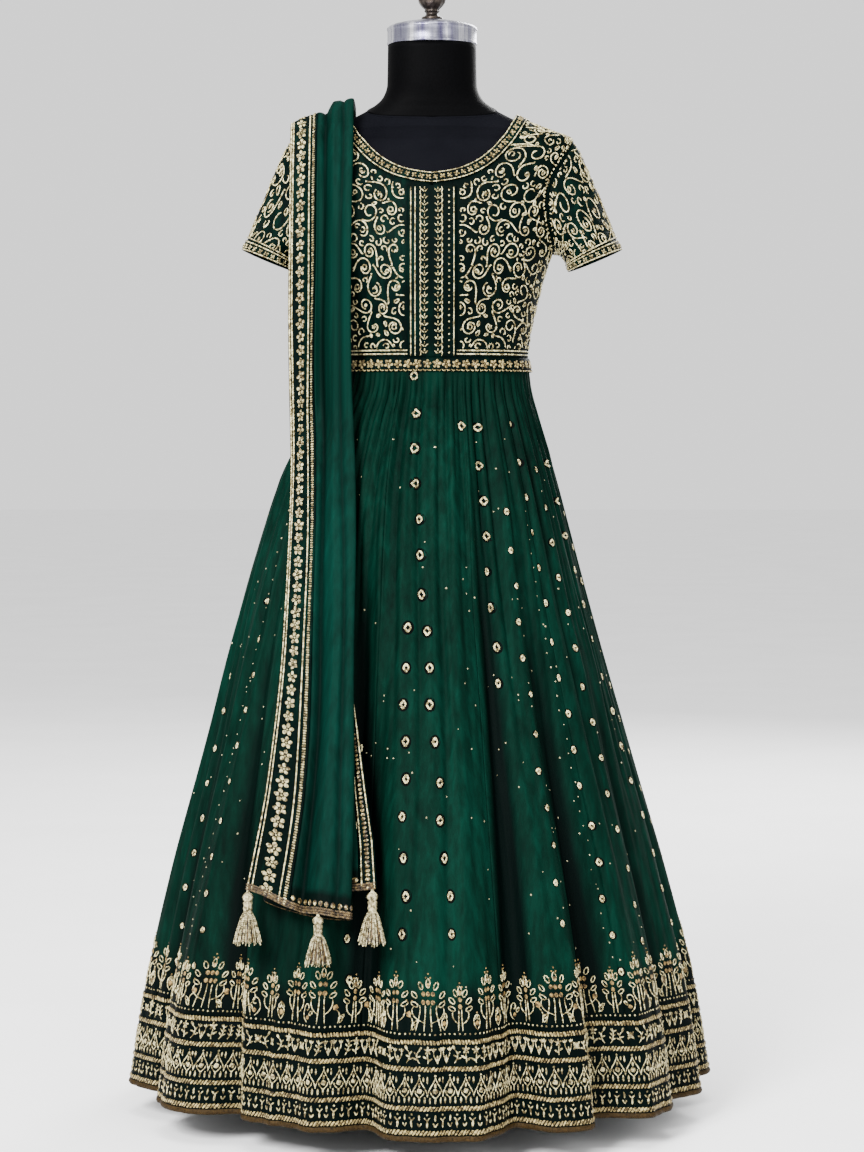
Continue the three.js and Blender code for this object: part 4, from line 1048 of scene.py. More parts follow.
def seam_rise(angle, offset):
    low = np.full(angle.shape, 320.0)
    high = np.full(angle.shape, 500.0)
    for _ in range(26):
        middle = (low + high) / 2
        point = form_point(angle, middle)
        below = point[..., 2] < 1355 + offset + 0.36 * point[..., 1]
        low = np.where(below, middle, low)
        high = np.where(below, high, middle)
    return low


def lathe(name, rings, material):
    """A closed solid through rings of points, with a flat end at each."""
    rings = np.asarray(rings)
    count, sides = rings.shape[:2]
    faces = grid_faces(count, sides).tolist()
    faces.append(list(range(sides))[::-1])
    faces.append(list(range((count - 1) * sides, count * sides)))
    piece = make(name, rings.reshape(-1, 3), faces, material, stands=True)
    for end in (-1, -2):
        piece.data.polygons[end].use_smooth = False


def form_ring(rise):
    return form_point(form_angles, rise)


form_angles = 360 * (np.arange(FORM_SIDES) + 0.5) / FORM_SIDES
form_rises = [*np.linspace(FORM_LOW_RISE, 300, 60), *np.linspace(304, TORSO_TOP_RISE, 5)]
torso_rings = [form_ring(np.full(FORM_SIDES, rise)) for rise in form_rises]
top_rise = seam_rise(form_angles, 0)
for share in np.linspace(0.04, 1, 24):
    torso_rings.append(form_ring(TORSO_TOP_RISE + (top_rise - TORSO_TOP_RISE) * share))
torso_rings[0][:, 2] = TORSO_LOW_Z
lathe("Form_torso", torso_rings, JERSEY)

neck_low = seam_rise(form_angles, 0.36)
neck_high = float(rise_at(NECK_TOP_Z))
neck_shares = np.linspace(0, 1, 22)
neck_rings = [form_ring(neck_low + (neck_high - neck_low) * share) for share in neck_shares]
neck_rings[-1][:, 2] = NECK_TOP_Z
lathe("Form_neck", neck_rings, NECK)


def turned(name, outline, sides, material, lobes=None):
    """A turned piece from (height, radius) pairs."""
    turn = np.arange(sides) / sides * TAU
    rings = []
    for z, radius in outline:
        r = radius + (lobes(z, turn) if lobes else np.zeros(sides))
        rings.append(vectors(r * np.cos(turn), r * np.sin(turn), z))
    lathe(name, rings, material)


def finial_lobes(z, turn):
    up = z - CAP_TOP_Z
    ball = math.exp(-(((up - 30) / 13) ** 2))
    stem = math.exp(-(((up - 12) / 3) ** 2))
    fluted = 0.5 - 0.5 * np.cos(10 * turn + up * 0.09)
    return -ball * 1.3 * fluted - stem * 0.9 * (0.5 - 0.5 * np.cos(8 * turn))


# fmt: off
cap = [
    (1438, 59.4), (1438.6, 60.5), (1440, 60.9), (1441.6, 60.5), (1442.4, 60.1), (1457, 60.1),
    (1457.8, 60.6), (1459.4, 61), (1461, 60.6), (1461.8, 59.8), (1463.2, 58), (1465.4, 53),
    (1467.4, 44), (1469, 36), (1470.4, 28), (1471.4, 20), (CAP_TOP_Z, 15),
]
finial = [
    (0.3, 13.4), (1.2, 14.2), (3.4, 14.2), (4.4, 13), (5.2, 10.4), (7.4, 8.4), (9.5, 8.2),
    (11, 9.8), (12, 10.6), (13.2, 9.8), (14.4, 9.8), (16.6, 12.6), (19.3, 15.2), (22.6, 17.6),
    (26.3, 18.9), (29.5, 19.3), (33.3, 18.9), (37, 17.6), (40.3, 15.9), (43.4, 13.4),
    (46.3, 10.6), (48.6, 7.6), (50, 5.6), (51.2, 3.4),
]
pole = [
    (20.3, 15.4), (21, 16), (744, 16), (750, 17), (754, 24), (756, 30), (757.4, 32), (779, 32),
    (779.7, 31.4),
]
base = [
    (0, 187), (0.8, 188.6), (2.4, 190), (7, 190), (8.6, 189), (10.4, 184), (12, 176), (15, 130),
    (18, 80), (20, 42), (20, 40),
]
# fmt: on
finial = [(CAP_TOP_Z + up, radius) for up, radius in finial]
turned("Form_cap", cap, 96, CHROME)
turned("Form_finial", finial, 80, BRONZE, finial_lobes)
turned("Form_pole", pole, 40, STAND)
turned("Form_base", base, 96, STAND)

# The seam where the neck cover meets the torso.
seam_angles = np.linspace(0, 360, 121)
seam_line = np.stack([seam_angles, seam_rise(seam_angles, 0.2)], -1)


def seam_place(flat):
    angle, rise = flat.T
    return form_point(angle, rise), normal_of(body_point, angle, rise, 0.5, 1)


merge("Form_seam", [cords([seam_line], seam_place, 2.2, 0.7)], JERSEY)

# ---- bodice ----

BODICE_COLUMNS, BODICE_ROWS = 44, 70
SEAM_SLACK = 0.09  # degrees between two fronts, and between front and back


def bodice_grid(side, back):
    shares = np.linspace(0, 1, BODICE_COLUMNS + 1), np.linspace(0, 1, BODICE_ROWS + 1)
    angle, rise = panel_at(*np.meshgrid(*shares), BACK_NECK_Z if back else FRONT_NECK_Z)
    angle = np.clip(angle, 0 if back else SEAM_SLACK, 90 - SEAM_SLACK)
    around = side * (180 - angle) if back else side * angle
    normal = normal_of(body_point, around, rise, 0.3, 1)
    point = body_point(around, rise) - normal * 0.1
    uv = np.stack([point[..., 0] * MM + point[..., 1] * MM, rise * MM], -1)
    return point, point - normal * CLOTH, uv


def bodice_piece(name, outer, inner, uv, flat, area):
    shell(name, outer, inner, GROUND, uv)


for name, side in (("left", -1), ("right", 1)):
    bodice_piece(f"Bodice_front_{name}", *bodice_grid(side, False), (0.24, 0.37), 0.0575)
halves = zip(bodice_grid(1, True), bodice_grid(-1, True))
whole = (np.concatenate([right[:, :0:-1], left], axis=1) for right, left in halves)
bodice_piece("Bodice_back", *whole, (0.46, 0.38), 0.118)

# The chart of the bodice: arc length round from the middle front, and rise.
chart_angles = np.linspace(0, 180, 361)
chart_rises = np.linspace(0, 400, 81)
grid = body_point(chart_angles[None, :], chart_rises[:, None])
steps = np.linalg.norm(np.diff(grid[..., :2], axis=1), axis=-1)
arcs = np.concatenate([np.zeros((len(chart_rises), 1)), np.cumsum(steps, axis=1)], axis=1)
front_arc = arcs[:, 180]
back_arc = arcs[:, -1] - arcs[:, 180]
front_shape = (arcs[:, :181] / front_arc[:, None]).mean(axis=0)
back_shape = ((arcs[:, -1:] - arcs[:, 180:][:, ::-1]) / back_arc[:, None]).mean(axis=0)


def front_angle(u, rise):
    share = np.abs(u) / np.interp(rise, chart_rises, front_arc)
    return np.sign(u) * np.interp(share, front_shape, chart_angles[:181])


def back_angle(u, rise):
    """Arc length round from the middle back, towards +X."""
    share = np.abs(u) / np.interp(rise, chart_rises, back_arc)
    return np.sign(u) * (180 - np.interp(share, back_shape, chart_angles[:181]))


def on_body(angle, rise, lift=0.0):
    normal = normal_of(body_point, angle, rise, 0.3, 1)
    return body_point(angle, rise) + normal * lift, normal


def front_place(flat):
    return on_body(front_angle(*flat.T), flat[:, 1])


def back_place(flat):
    angle = np.where(flat[:, 0] == 0, 180, back_angle(*flat.T))
    return on_body(angle, flat[:, 1])


def body_keep(angle_of, low):
    def keep(flat):
        rise = flat[:, 1]
        angle = np.abs(angle_of(flat[:, 0], rise))
        angle = np.where(angle > 90, 180 - angle, angle)
        point = body_point(angle, rise)
        x, z = point[:, 0], point[:, 2]
        ok = (rise > rise_at(1028.0)) & (angle < 88.6)
        ok &= (x > NECK_HALF_WIDTH + 12) | (z < neck_height(x, low) - NECKBAND_WIDTH * 1.25 - 3)
        ok &= ~((z > NECK_POINT_Z - 22) & (x < NECK_HALF_WIDTH + 12))
        along = (rise - UNDERARM_RISE) / (SHOULDER_RISE - UNDERARM_RISE)
        edge, _ = armhole_at(along)
        ok &= (along < 0) | (along > 1) | (angle < edge - 1.6)
        if low == FRONT_NECK_Z:
            ok &= (x > PLACKET_HALF_WIDTH + 3.5) | (z > FRONT_NECK_Z + 60)
        return ok

    return keep


CORD_WIDTH = 1.75
CORD_HEIGHT = 0.9


def sew(name, drawn, place, keep=None, width=CORD_WIDTH, height=CORD_HEIGHT, materials=(CORD, PAD)):
    """Cords, and padded stitches with knots, as pieces of their own."""
    lines, filled, knots = drawn
    spots = [ellipse(1.25, 1.25, 6, *spot) for spot in knots]
    if keep:
        lines = runs(lines, keep)
        filled = [shape for shape in filled if keep(shape).all()]
        spots = [shape for shape in spots if keep(shape).all()]
    if lines:
        merge(f"{name}_cords", [cords(lines, place, width, height)], materials[0])
    solid = pads(filled, place, 1.0) + pads(spots, place, 1.1)
    if solid:
        merge(f"{name}_pads", solid, materials[1])


def mirrored(drawn):
    lines, filled, knots = drawn
    return (
        lines + [line * (-1, 1) for line in lines],
        filled + [shape * (-1, 1) for shape in filled],
        knots + [(-u, v) for u, v in knots],
    )


half_front = float(front_arc.max())
half_back = float(back_arc.max())
vine = mirrored(scroll(PLACKET_HALF_WIDTH + 10, half_front + 8, 30, 380, 11))
sew("Vine_front", vine, front_place, body_keep(front_angle, FRONT_NECK_Z))
vine = mirrored(scroll(7, half_back + 8, 30, 392, 23))
sew("Vine_back", vine, back_place, body_keep(back_angle, BACK_NECK_Z))


def body_place(flat):
    return on_body(*flat.T)


# A cord with knots along each armhole seam, and knots along each shoulder seam.
arm_angle, arm_rise = armhole_at(np.linspace(0, 1, 60))
shoulder_rise = np.linspace(SHOULDER_RISE, NECK_RISE - 12, 24)
seam_lines, seam_knots = [], []
for side in (-1, 1):
    for front in (True, False):
        edge, inner_edge = ((a if front else 180 - a) for a in (arm_angle - 0.2, arm_angle - 3.2))
        seam_lines.append(np.stack([side * edge, arm_rise], -1))
        seam_knots.append(np.stack([side * inner_edge, arm_rise], -1)[2::2])
    for turn in (-2.4, 2.4):
        seam_knots.append(np.stack([np.full(24, side * (90 + turn)), shoulder_rise], -1))
seam_cords = cords(seam_lines, body_place, 4.6, 1.4)
merge("Armhole_cords", [seam_cords], GROUND)
seam_shapes = [spot + ellipse(0.6, 1.7, 6) for spot in np.concatenate(seam_knots)]
merge("Armhole_knots", pads(seam_shapes, body_place, 1.3), PAD)

# ---- neckband, placket and waistband ----

TRIM_THICKNESS = 1.1


def walk(angle, rise, direction, distance):
    """Steps along the body's face in a direction, for a distance."""
    a, r = np.array(angle, float), np.array(rise, float)
    for _ in range(4):
        along_a = (body_point(a + 0.3, r) - body_point(a - 0.3, r)) / 0.6
        along_r = (body_point(a, r + 0.5) - body_point(a, r - 0.5)) / 1.0
        aa, ar, rr = (
            (p * q).sum(-1) for p, q in ((along_a, along_a), (along_a, along_r), (along_r, along_r))
        )
        da, dr = (along_a * direction).sum(-1), (along_r * direction).sum(-1)
        scale = distance / 4 / (aa * rr - ar * ar)
        a, r = a + (da * rr - dr * ar) * scale, r + (dr * aa - da * ar) * scale
    return a, r


def neckline_round(turns):
    wrapped = turns % 1
    side = np.where(wrapped <= 0.5, 1, -1)
    half = np.where(wrapped <= 0.5, wrapped * 2, (1 - wrapped) * 2)
    back = half > 0.5
    along = np.where(back, (1 - half) * 2, half * 2)
    crowded = 1 - (1 - along) ** NECK_CROWDING
    front = neckline_at(crowded, FRONT_NECK_Z)
    rear = neckline_at(crowded, BACK_NECK_Z)
    return side * np.where(back, 180 - rear[0], front[0]), np.where(back, rear[1], front[1])


def neckband_point(turns, share):
    turns, share = np.broadcast_arrays(np.asarray(turns, float), np.asarray(share, float))
    angle, rise = neckline_round(turns)
    ahead, behind = (body_point(*neckline_round(turns + step)) for step in (0.012, -0.012))
    outward = unit(np.cross(normal_of(body_point, angle, rise, 0.5, 1), unit(ahead - behind)))
    outward = outward * np.where(outward[..., 2:] > 0, -1, 1)
    return body_point(*walk(angle, rise, outward, NECKBAND_WIDTH * share))


def band(name, place, us, vs, closed=True, sunk=TRIM_THICKNESS):
    """A trim laid on a surface, as a thin wall."""
    u, v = np.meshgrid(us, vs)
    point, normal = (p.reshape(*u.shape, 3) for p in place(np.stack([u.ravel(), v.ravel()], -1)))
    point = point - normal * sunk
    uv = np.stack([u * MM, v * MM], -1)
    shell(name, point + normal * TRIM_THICKNESS, point, GROUND, uv, closed=closed)


neck_turns = np.linspace(0, 1, 721)
neck_arc = arc_of(neckband_point(neck_turns, 0.5))
NECK_LENGTH = float(neck_arc[-1])


def neckband_place(flat):
    """Arc length along the band, and distance out from the neckline."""
    turns = np.interp(flat[:, 0] % NECK_LENGTH, neck_arc, neck_turns)
    share = flat[:, 1] / NECKBAND_WIDTH
    normal = normal_of(neckband_point, turns, share, 0.004, 0.05)
    point = neckband_point(turns, share)
    middle = vectors(0, 0, point[:, 2] - 30)
    normal = normal * np.where((normal * (point - middle)).sum(-1, keepdims=True) < 0, -1, 1)
    return point + normal * 2.3, normal


neck_us, neck_vs = np.linspace(0, NECK_LENGTH, 240)[:-1], np.linspace(0, NECKBAND_WIDTH, 5)
band("Neckband", neckband_place, neck_us, neck_vs)


def flower_row(length, pitch, y, size, seed, petals=4):
    """Padded flowers along a trim, each with a knot in the middle."""
    local = np.random.default_rng(seed)
    filled, knots = [], []
    count = int(round(length / pitch))
    for k in range(count):
        x = (k + 0.5) * length / count
        spin = local.uniform(-0.35, 0.35) + math.pi / 4
        scale = size * local.uniform(0.92, 1.08)
        for petal in range(petals):
            turn = spin + petal * TAU / petals
            base = (x + 0.16 * scale * -math.sin(turn), y + 0.16 * scale * math.cos(turn))
            filled.append(leaf(scale * 0.5, scale * 0.42, 7, *base, turn))
        knots.append((x, y))
    return [], filled, knots


def straight(length, y, x0=0.0):
    """A line along a trim, with a point every 3 mm."""
    count = int(length / 3)
    return np.stack([np.linspace(x0, x0 + length, count), np.full(count, float(y))], -1)


drawn = flower_row(NECK_LENGTH, 9.6, 7.8, 6.5, 31)
drawn[0].extend([straight(NECK_LENGTH, 1.1), straight(NECK_LENGTH, 14.7)])
sew("Neckband_trim", drawn, neckband_place, width=1.35, height=1.0, materials=(CORD, ZARI))


def placket_place(flat):
    """Distance right of the middle, and height."""
    x, z = flat[:, 0], flat[:, 1]
    half = follow(BODY, "z", "half", z)
    sine = np.sign(x) * np.abs(x / half) ** (BODY_POWER / 2)
    angle = np.degrees(np.arcsin(sine))
    rise = rise_at(z)
    normal = normal_of(body_point, angle, rise, 0.3, 1)
    return body_point(angle, rise) + normal * 2.0, normal


PLACKET_LOW = WAISTBAND_HIGH_Z + 0.6
PLACKET_HIGH = FRONT_NECK_Z - NECKBAND_WIDTH - 2
placket_us = np.linspace(-PLACKET_HALF_WIDTH, PLACKET_HALF_WIDTH, 15)
placket_vs = np.linspace(PLACKET_LOW, PLACKET_HIGH, 60)
size = (0.065, 0.226)
band("Placket", placket_place, placket_us, placket_vs, False)


def upright(x, step=3.0):
    """A line up the placket."""
    low, high = PLACKET_LOW + 2, PLACKET_HIGH - 2
    z = np.linspace(low, high, int((high - low) / step))
    return np.stack([np.full(len(z), float(x)), z], -1)


lines = [upright(x) for x in (-27.9, -22.2, 28.7)]
filled = []
for x in (-9.8, 7.8):
    for k, z in enumerate(np.arange(PLACKET_LOW + 5, PLACKET_HIGH - 5, 9.2)):
        lean = 0.85 + 0.1 * math.sin(k * 2.1)
        filled += [leaf(5.6, 1.8, 8, x + hand * 0.4, z, -hand * lean) for hand in (-1, 1)]
        filled.append(leaf(4.4, 1.5, 6, x, z + 2.6))
    lace = upright(x + (5.4 if x > 0 else -5.4), 2.2)
    lace[:, 0] += 0.7 * np.sin(lace[:, 1] * 0.85)
    lines.append(lace)
knots = [(22.4, z) for z in np.arange(PLACKET_LOW + 6, PLACKET_HIGH - 4, 8.2)]
sew("Placket_trim", (lines, filled, knots), placket_place, width=1.25)


def waistband_point(angle, z):
    rise = rise_at(z)
    normal = normal_of(body_point, angle, rise, 0.5, 1)
    flare = WAISTBAND_FLARE * (WAISTBAND_HIGH_Z - z) / (WAISTBAND_HIGH_Z - WAISTBAND_LOW_Z)
    return body_point(angle, rise) + normal * np.asarray(flare)[..., None]


waist_angles = np.linspace(0, 360, 721)
waist_arc = arc_of(waistband_point(waist_angles, np.full(721, 1007.0)))
WAIST_LENGTH = float(waist_arc[-1])


def waistband_place(flat):
    angle = np.interp(flat[:, 0] % WAIST_LENGTH, waist_arc, waist_angles)
    z = flat[:, 1]
    normal = normal_of(waistband_point, angle, z, 0.5, 0.5)
    return waistband_point(angle, z) + normal * 2.0, normal


waist_us = np.linspace(0, WAIST_LENGTH, 220)[:-1]
waist_vs = np.linspace(WAISTBAND_LOW_Z, WAISTBAND_HIGH_Z, 5)
band("Waistband", waistband_place, waist_us, waist_vs)
drawn = flower_row(WAIST_LENGTH, 12.8, 1007.6, 9.2, 41, petals=5)
scallop = ellipse(2.4, 1.8, 12)[6:12]
count = int(WAIST_LENGTH / 6.3)
for k in range(count):
    drawn[0].append(at(scallop, (k + 0.5) * WAIST_LENGTH / count, 1000.4))
sew("Waistband_trim", drawn, waistband_place, width=1.5, height=1.0, materials=(ZARI, ZARI))


def near_waist(angle_of):
    def keep(flat):
        angle = np.abs(angle_of(*flat.T))
        return np.where(angle > 90, 180 - angle, angle) < 89.9

    return keep


for name, half, angle_of, place in (
    ("front", half_front, front_angle, front_place),
    ("back", half_back, back_angle, back_place),
):
    rows = [straight(2 * half, float(rise_at(z)), -half) for z in (1020.6, 1025.4)]
    sew(f"Waist_rows_{name}", (rows, [], []), place, near_waist(angle_of))

# ---- sleeves ----

SLEEVE_TURNS, SLEEVE_ROWS = 72, 30
around = np.linspace(0, 1, 145)
SLEEVE_ROUND = float(steps_of(sleeve_point(around, 0.6)).sum())
SLEEVE_LENGTH = float(steps_of(sleeve_point(0.25, np.linspace(0, 1, 41))).sum())
CUFF_ROUND = float(steps_of(sleeve_point(around, 0.93)).sum())
CUFF_LOW, CUFF_HIGH = 0.86 * SLEEVE_LENGTH, SLEEVE_LENGTH


def sleeve_place(side, lift, round_length=SLEEVE_ROUND):
    """Distance round from the shoulder by the front, and distance out from the armhole."""

    def place(flat):
        turns = (flat[:, 0] / round_length) % 1
        share = flat[:, 1] / SLEEVE_LENGTH
        normal = sleeve_out(turns, share)
        point = sleeve_point(turns, share) + normal * lift
        return point * (side, 1, 1), normal * (side, 1, 1)

    return place


def on_sleeve(flat):
    return (flat[:, 1] > 3) & (flat[:, 1] < CUFF_LOW - 3)


for name, side in (("left", -1), ("right", 1)):
    mirror = (side, 1, 1)
    turns, share = np.meshgrid(
        np.arange(SLEEVE_TURNS) / SLEEVE_TURNS, np.linspace(0, 1, SLEEVE_ROWS + 1)
    )
    normal = sleeve_out(turns, share)
    normal[:1] = normal_of(body_point, *armhole_round(turns[:1]), 0.5, 1)
    puff = 0.5 * np.sin(TAU * turns * 9) * np.clip(share * 4, 0, 1) * np.clip((1 - share) * 5, 0, 1)
    outer = sleeve_point(turns, share) + normal * puff[..., None]
    inner = (outer - normal * CLOTH) * mirror
    uv = np.stack([turns * SLEEVE_ROUND * MM, share * SLEEVE_LENGTH * MM], -1)
    shell(
        f"Sleeve_{name}", outer * mirror, inner, GROUND,
        uv, closed=True,
    )
    cuff_us, cuff_vs = np.linspace(0, CUFF_ROUND, 97)[:-1], np.linspace(CUFF_LOW, CUFF_HIGH, 6)
    place = sleeve_place(side, 0.9, CUFF_ROUND)
    band(f"Sleeve_band_{name}", place, cuff_us, cuff_vs, sunk=0)
    vine = scroll(0, SLEEVE_ROUND, 4, SLEEVE_LENGTH * 0.9, 50 + side, 32)
    sew(f"Vine_sleeve_{name}", vine, sleeve_place(side, 0.3), on_sleeve, width=1.6)
    middle, tall = (CUFF_LOW + CUFF_HIGH) / 2, CUFF_HIGH - CUFF_LOW
    drawn = flower_row(CUFF_ROUND, 11.6, middle, tall * 0.44, 61)
    for y in (CUFF_LOW + 1, CUFF_HIGH - 1.2, CUFF_LOW - 3.4):
        drawn[0].append(straight(CUFF_ROUND, y))
    sew(f"Cuff_{name}", drawn, sleeve_place(side, 2.1, CUFF_ROUND), width=1.5)

# ---- skirt ----

BORDER_DOWN = (WAIST_SEAM_Z - BORDER_TOP_Z) / SKIRT_LENGTH
JOIN_GAP = 0.00002
KALI_DOWNS = np.concatenate(
    [np.linspace(0, 0.08, 10)[:-1], np.linspace(0.08, BORDER_DOWN - JOIN_GAP, 62)]
)
BORDER_DOWNS = np.linspace(BORDER_DOWN + JOIN_GAP, 1, 16)
hem_angles = np.linspace(-180, 180, 3601)
hem_arc = arc_of(skirt_point(hem_angles, 0.93))
HEM_LENGTH = float(hem_arc[-1])


def hem_arc_at(angle):
    return np.interp((angle + 180) % 360 - 180, hem_angles, hem_arc)


def bush_edge(arc):
    """The height of the dark ground's waved top edge above the hem."""
    return 189 + 6 * np.sin(arc / 38.4 * TAU) + 6 * np.sin(arc / 91 * TAU + 1)


def sunk_in(angle, down):
    return pressed_in(angle, down) + ripple(angle, down)


def dark_ground_and_painted_fold_shade(angle, down):
    """Where the ground is darkened: the border's own dark ground, and painted shade in the valleys
    between folds and inside the deep folds.
    """
    height = (1 - down) * SKIRT_LENGTH
    border = np.clip((bush_edge(hem_arc_at(angle)) - height) / 26, 0, 1)
    # Painted shade: darker where the cloth sinks below its neighbours, and deeper inside the big
    # folds.
    near = sum(sunk_in(angle + away, down) for away in (-7, -3.5, 3.5, 7))
    painted_valley_shade = np.clip((sunk_in(angle, down) - near / 4) / 11, 0, 1)
    deep = np.clip((pressed_in(angle, down) - 14) / 30, 0, 1)
    return np.clip(np.maximum(border, 0.06 + 0.62 * painted_valley_shade + 0.6 * deep), 0, 1)


EDGE_GAP = 0.004  # degrees from a panel's seam


def skirt_piece(name, first, last, downs):
    columns_across = int(round((last - first) * 2)) + 1
    angle, down = np.meshgrid(np.linspace(first + EDGE_GAP, last - EDGE_GAP, columns_across), downs)
    normal = skirt_out(angle, down)
    outer = skirt_point(angle, down) + normal * 1.5
    uv = np.stack([hem_arc_at(angle) * MM, down * SKIRT_LENGTH * MM], -1)
    shell(
        name, outer, outer - normal * CLOTH, GOWN,
        uv, dark=dark_ground_and_painted_fold_shade(angle, down),
    )


for kali in range(12):
    first, last = kali * 30 - 15, kali * 30 + 15
    name = f"Skirt_kali_{kali + 1:02d}"
    skirt_piece(name, first, last, KALI_DOWNS)
for length in range(6):
    first, last = length * 60 - 15, length * 60 + 45
    name = f"Hem_border_{length + 1}"
    skirt_piece(name, first, last, BORDER_DOWNS)


def angle_place(lift):
    """Angle in degrees, and share of the way down."""

    def place(flat):
        normal = skirt_out(*flat.T)
        return skirt_point(*flat.T) + normal * lift, normal

    return place


def skirt_place(lift=1.6):
    """Arc length along the border, and height above the hem."""

    def place(flat):
        angle = np.interp(flat[:, 0] % HEM_LENGTH, hem_arc, hem_angles)
        down = np.clip(1 - flat[:, 1] / SKIRT_LENGTH, 0, 1)
        return angle_place(lift)(np.stack([angle, down], -1))

    return place


def hem_binding(low, high, height, cross=5):
    """A raised binding right round the hem between two heights."""
    u, v = np.meshgrid(np.arange(0, HEM_LENGTH, 3.2), np.linspace(low, high, cross))
    point, normal = skirt_place(1.55)(np.stack([u.ravel(), v.ravel()], -1))
    bulge = np.sin(np.linspace(0, math.pi, cross)) ** 0.5 * height
    points = point + normal * np.repeat(bulge, u.shape[1])[:, None]
    uv = np.stack([u.ravel(), (v.ravel() - low) / (high - low)], -1)
    faces = grid_faces(*u.shape).tolist()
    make("Hem_binding", points, faces, BINDING, uv)


hem_binding(0.2, 6.6, 1.6)


def plant(kind, h, w):
    """A small flowering plant, h tall and w wide: lines and filled shapes, from y = 0 up."""
    lines, filled = [], []
    if kind == 0:
        lines.append(bezier((0, 0), (w * 0.15, h * 0.2), (-w * 0.15, h * 0.4), (0, h * 0.6), 6))
        filled += flower(5, h * 0.25, w * 0.2, 6, 0, h * 0.74)
        for hand, up in ((-1, 0.12), (1, 0.24)):
            filled.append(leaf(h * 0.34, w * 0.2, 6, 0, h * up, hand))
    elif kind == 1:
        stem = (-w * 0.2, 0), (w * 0.1, h * 0.2), (w * 0.3, h * 0.5), (w * 0.1, h * 0.9)
        lines.append(bezier(*stem, 7))
        for k in range(3):
            x, y = w * (0.02 + 0.08 * k), h * (0.2 + 0.24 * k)
            filled += [leaf(h * 0.26, w * 0.16, 6, x, y, hand * 0.95 - 0.2) for hand in (-1, 1)]
    elif kind == 2:
        for hand in (-1, 1):
            x, y = hand * w * 0.34, h * 0.66
            low, high = (hand * w * 0.1, h * 0.3), (hand * w * 0.4, h * 0.4)
            lines.append(bezier((0, 0), low, high, (x, y), 6))
            filled += [leaf(h * 0.24, w * 0.15, 6, x, y, turn) for turn in (-0.6, 0, 0.6)]
        filled.append(leaf(h * 0.34, w * 0.18, 6, 0, h * 0.14))
    elif kind == 3:
        filled += flower(4, h * 0.3, w * 0.24, 7, 0, h * 0.46, 0.78)
        filled += flower(4, h * 0.2, w * 0.12, 6, 0, h * 0.46)
    else:
        stem = (w * 0.2, 0), (-w * 0.3, h * 0.3), (-w * 0.2, h * 0.6), (w * 0.1, h * 0.7)
        lines.append(bezier(*stem, 7))
        filled.append(drop(h * 0.32, w * 0.28, 8, w * 0.1, h * 0.68, -0.5))
        for turn, up in ((1.1, 0.2), (0.7, 0.46), (-1.2, 0.34)):
            filled.append(leaf(h * 0.27, w * 0.17, 6, -w * 0.12, h * up, turn))
    return lines, filled


def spread(pitch):
    """How many motifs of about this pitch go round the hem, and their exact pitch."""
    count = int(HEM_LENGTH / pitch)
    return count, HEM_LENGTH / count


def sew_hem(name, lines, filled, knots, width, materials=(CORD, PAD)):
    sew(name, (lines, filled, knots), skirt_place(), width=width, height=1.0, materials=materials)


# The flowering plants of the upper band, and a row of knots over them.
PLANT_FOOT_Z, PLANT_HEIGHT, PLANT_WIDTH, KNOT_ROW_Z = 95.5, 21.5, 12.5, 130.6
lines, filled = [], []
local = np.random.default_rng(71)
count, _ = spread(12.5)
for k in range(count):
    x = (k + 0.5) * HEM_LENGTH / count + local.uniform(-0.6, 0.6)
    kind = (0, 1, 2, 3, 4, 2, 0, 4)[int(local.integers(0, 8))]
    flip = -1 if local.uniform() < 0.5 else 1
    size = local.uniform(0.93, 1.06)
    for shapes, store in zip(plant(kind, PLANT_HEIGHT, PLANT_WIDTH), (lines, filled)):
        store += [at(shape, x, PLANT_FOOT_Z, size, 0, flip) for shape in shapes]
knots = [(x, KNOT_ROW_Z) for x in np.arange(0, HEM_LENGTH, 6.6)]
sew_hem("Hem_plants", lines, filled, knots, 1.3)

# Ogee arches with flowers, and upright leaves above and below them.
lines, filled, knots = [], [], []
count, pitch = spread(19.5)
for k in range(count):
    x = (k + 0.5) * pitch
    for hand in (-1, 1):
        foot, bend_out = x + hand * pitch * 0.5, x + hand * pitch * 0.46
        lines.append(bezier((foot, 55), (bend_out, 66), (x + hand * 2.4, 68), (x, 79), 8))
        curve = (x, 53), (x + hand * 2.5, 57), (x + hand * 6.4, 58), (x + hand * 5.4, 62.5)
        lines.append(bezier(*curve, 6))
    filled.append(at(rosette(3.6, 4, 12), x, 62, 1, 0.4))
    filled.append(leaf(6.4, 2.6, 6, x, 66))
    knots.append((x, 81))
    filled.append(leaf(9, 2.3, 7, x + pitch * 0.5, 71.0))
    filled.append(leaf(6, 2.3, 7, x + pitch * 0.25, 73.5))
    filled += [leaf(8.8, 2.4, 7, x + pitch * step, 46.6) for step in (0, 0.33, 0.67)]
sew_hem("Hem_arches", lines, filled, knots, 1.2)

# Short upright stitches of the lowest band.
filled, knots = [], []
local = np.random.default_rng(81)
count, _ = spread(9.4)
for k in range(count):
    x = (k + 0.5) * HEM_LENGTH / count + local.uniform(-0.5, 0.5)
    lean = local.uniform(-0.12, 0.12)
    if k % 2:
        filled.append(leaf(9.5, 2.6, 7, x, 17.4, lean))
        filled += [leaf(5.6, 1.9, 6, x, 26, hand * 0.75) for hand in (-1, 1)]
        knots.append((x, 33.4))
    else:
        filled.append(leaf(8.2, 2.4, 7, x, 25.6, lean))
        filled += [leaf(6, 1.9, 6, x, 18.4, hand * 0.5) for hand in (-1, 1)]
sew_hem("Hem_stitches", [], filled, knots, 1.4)


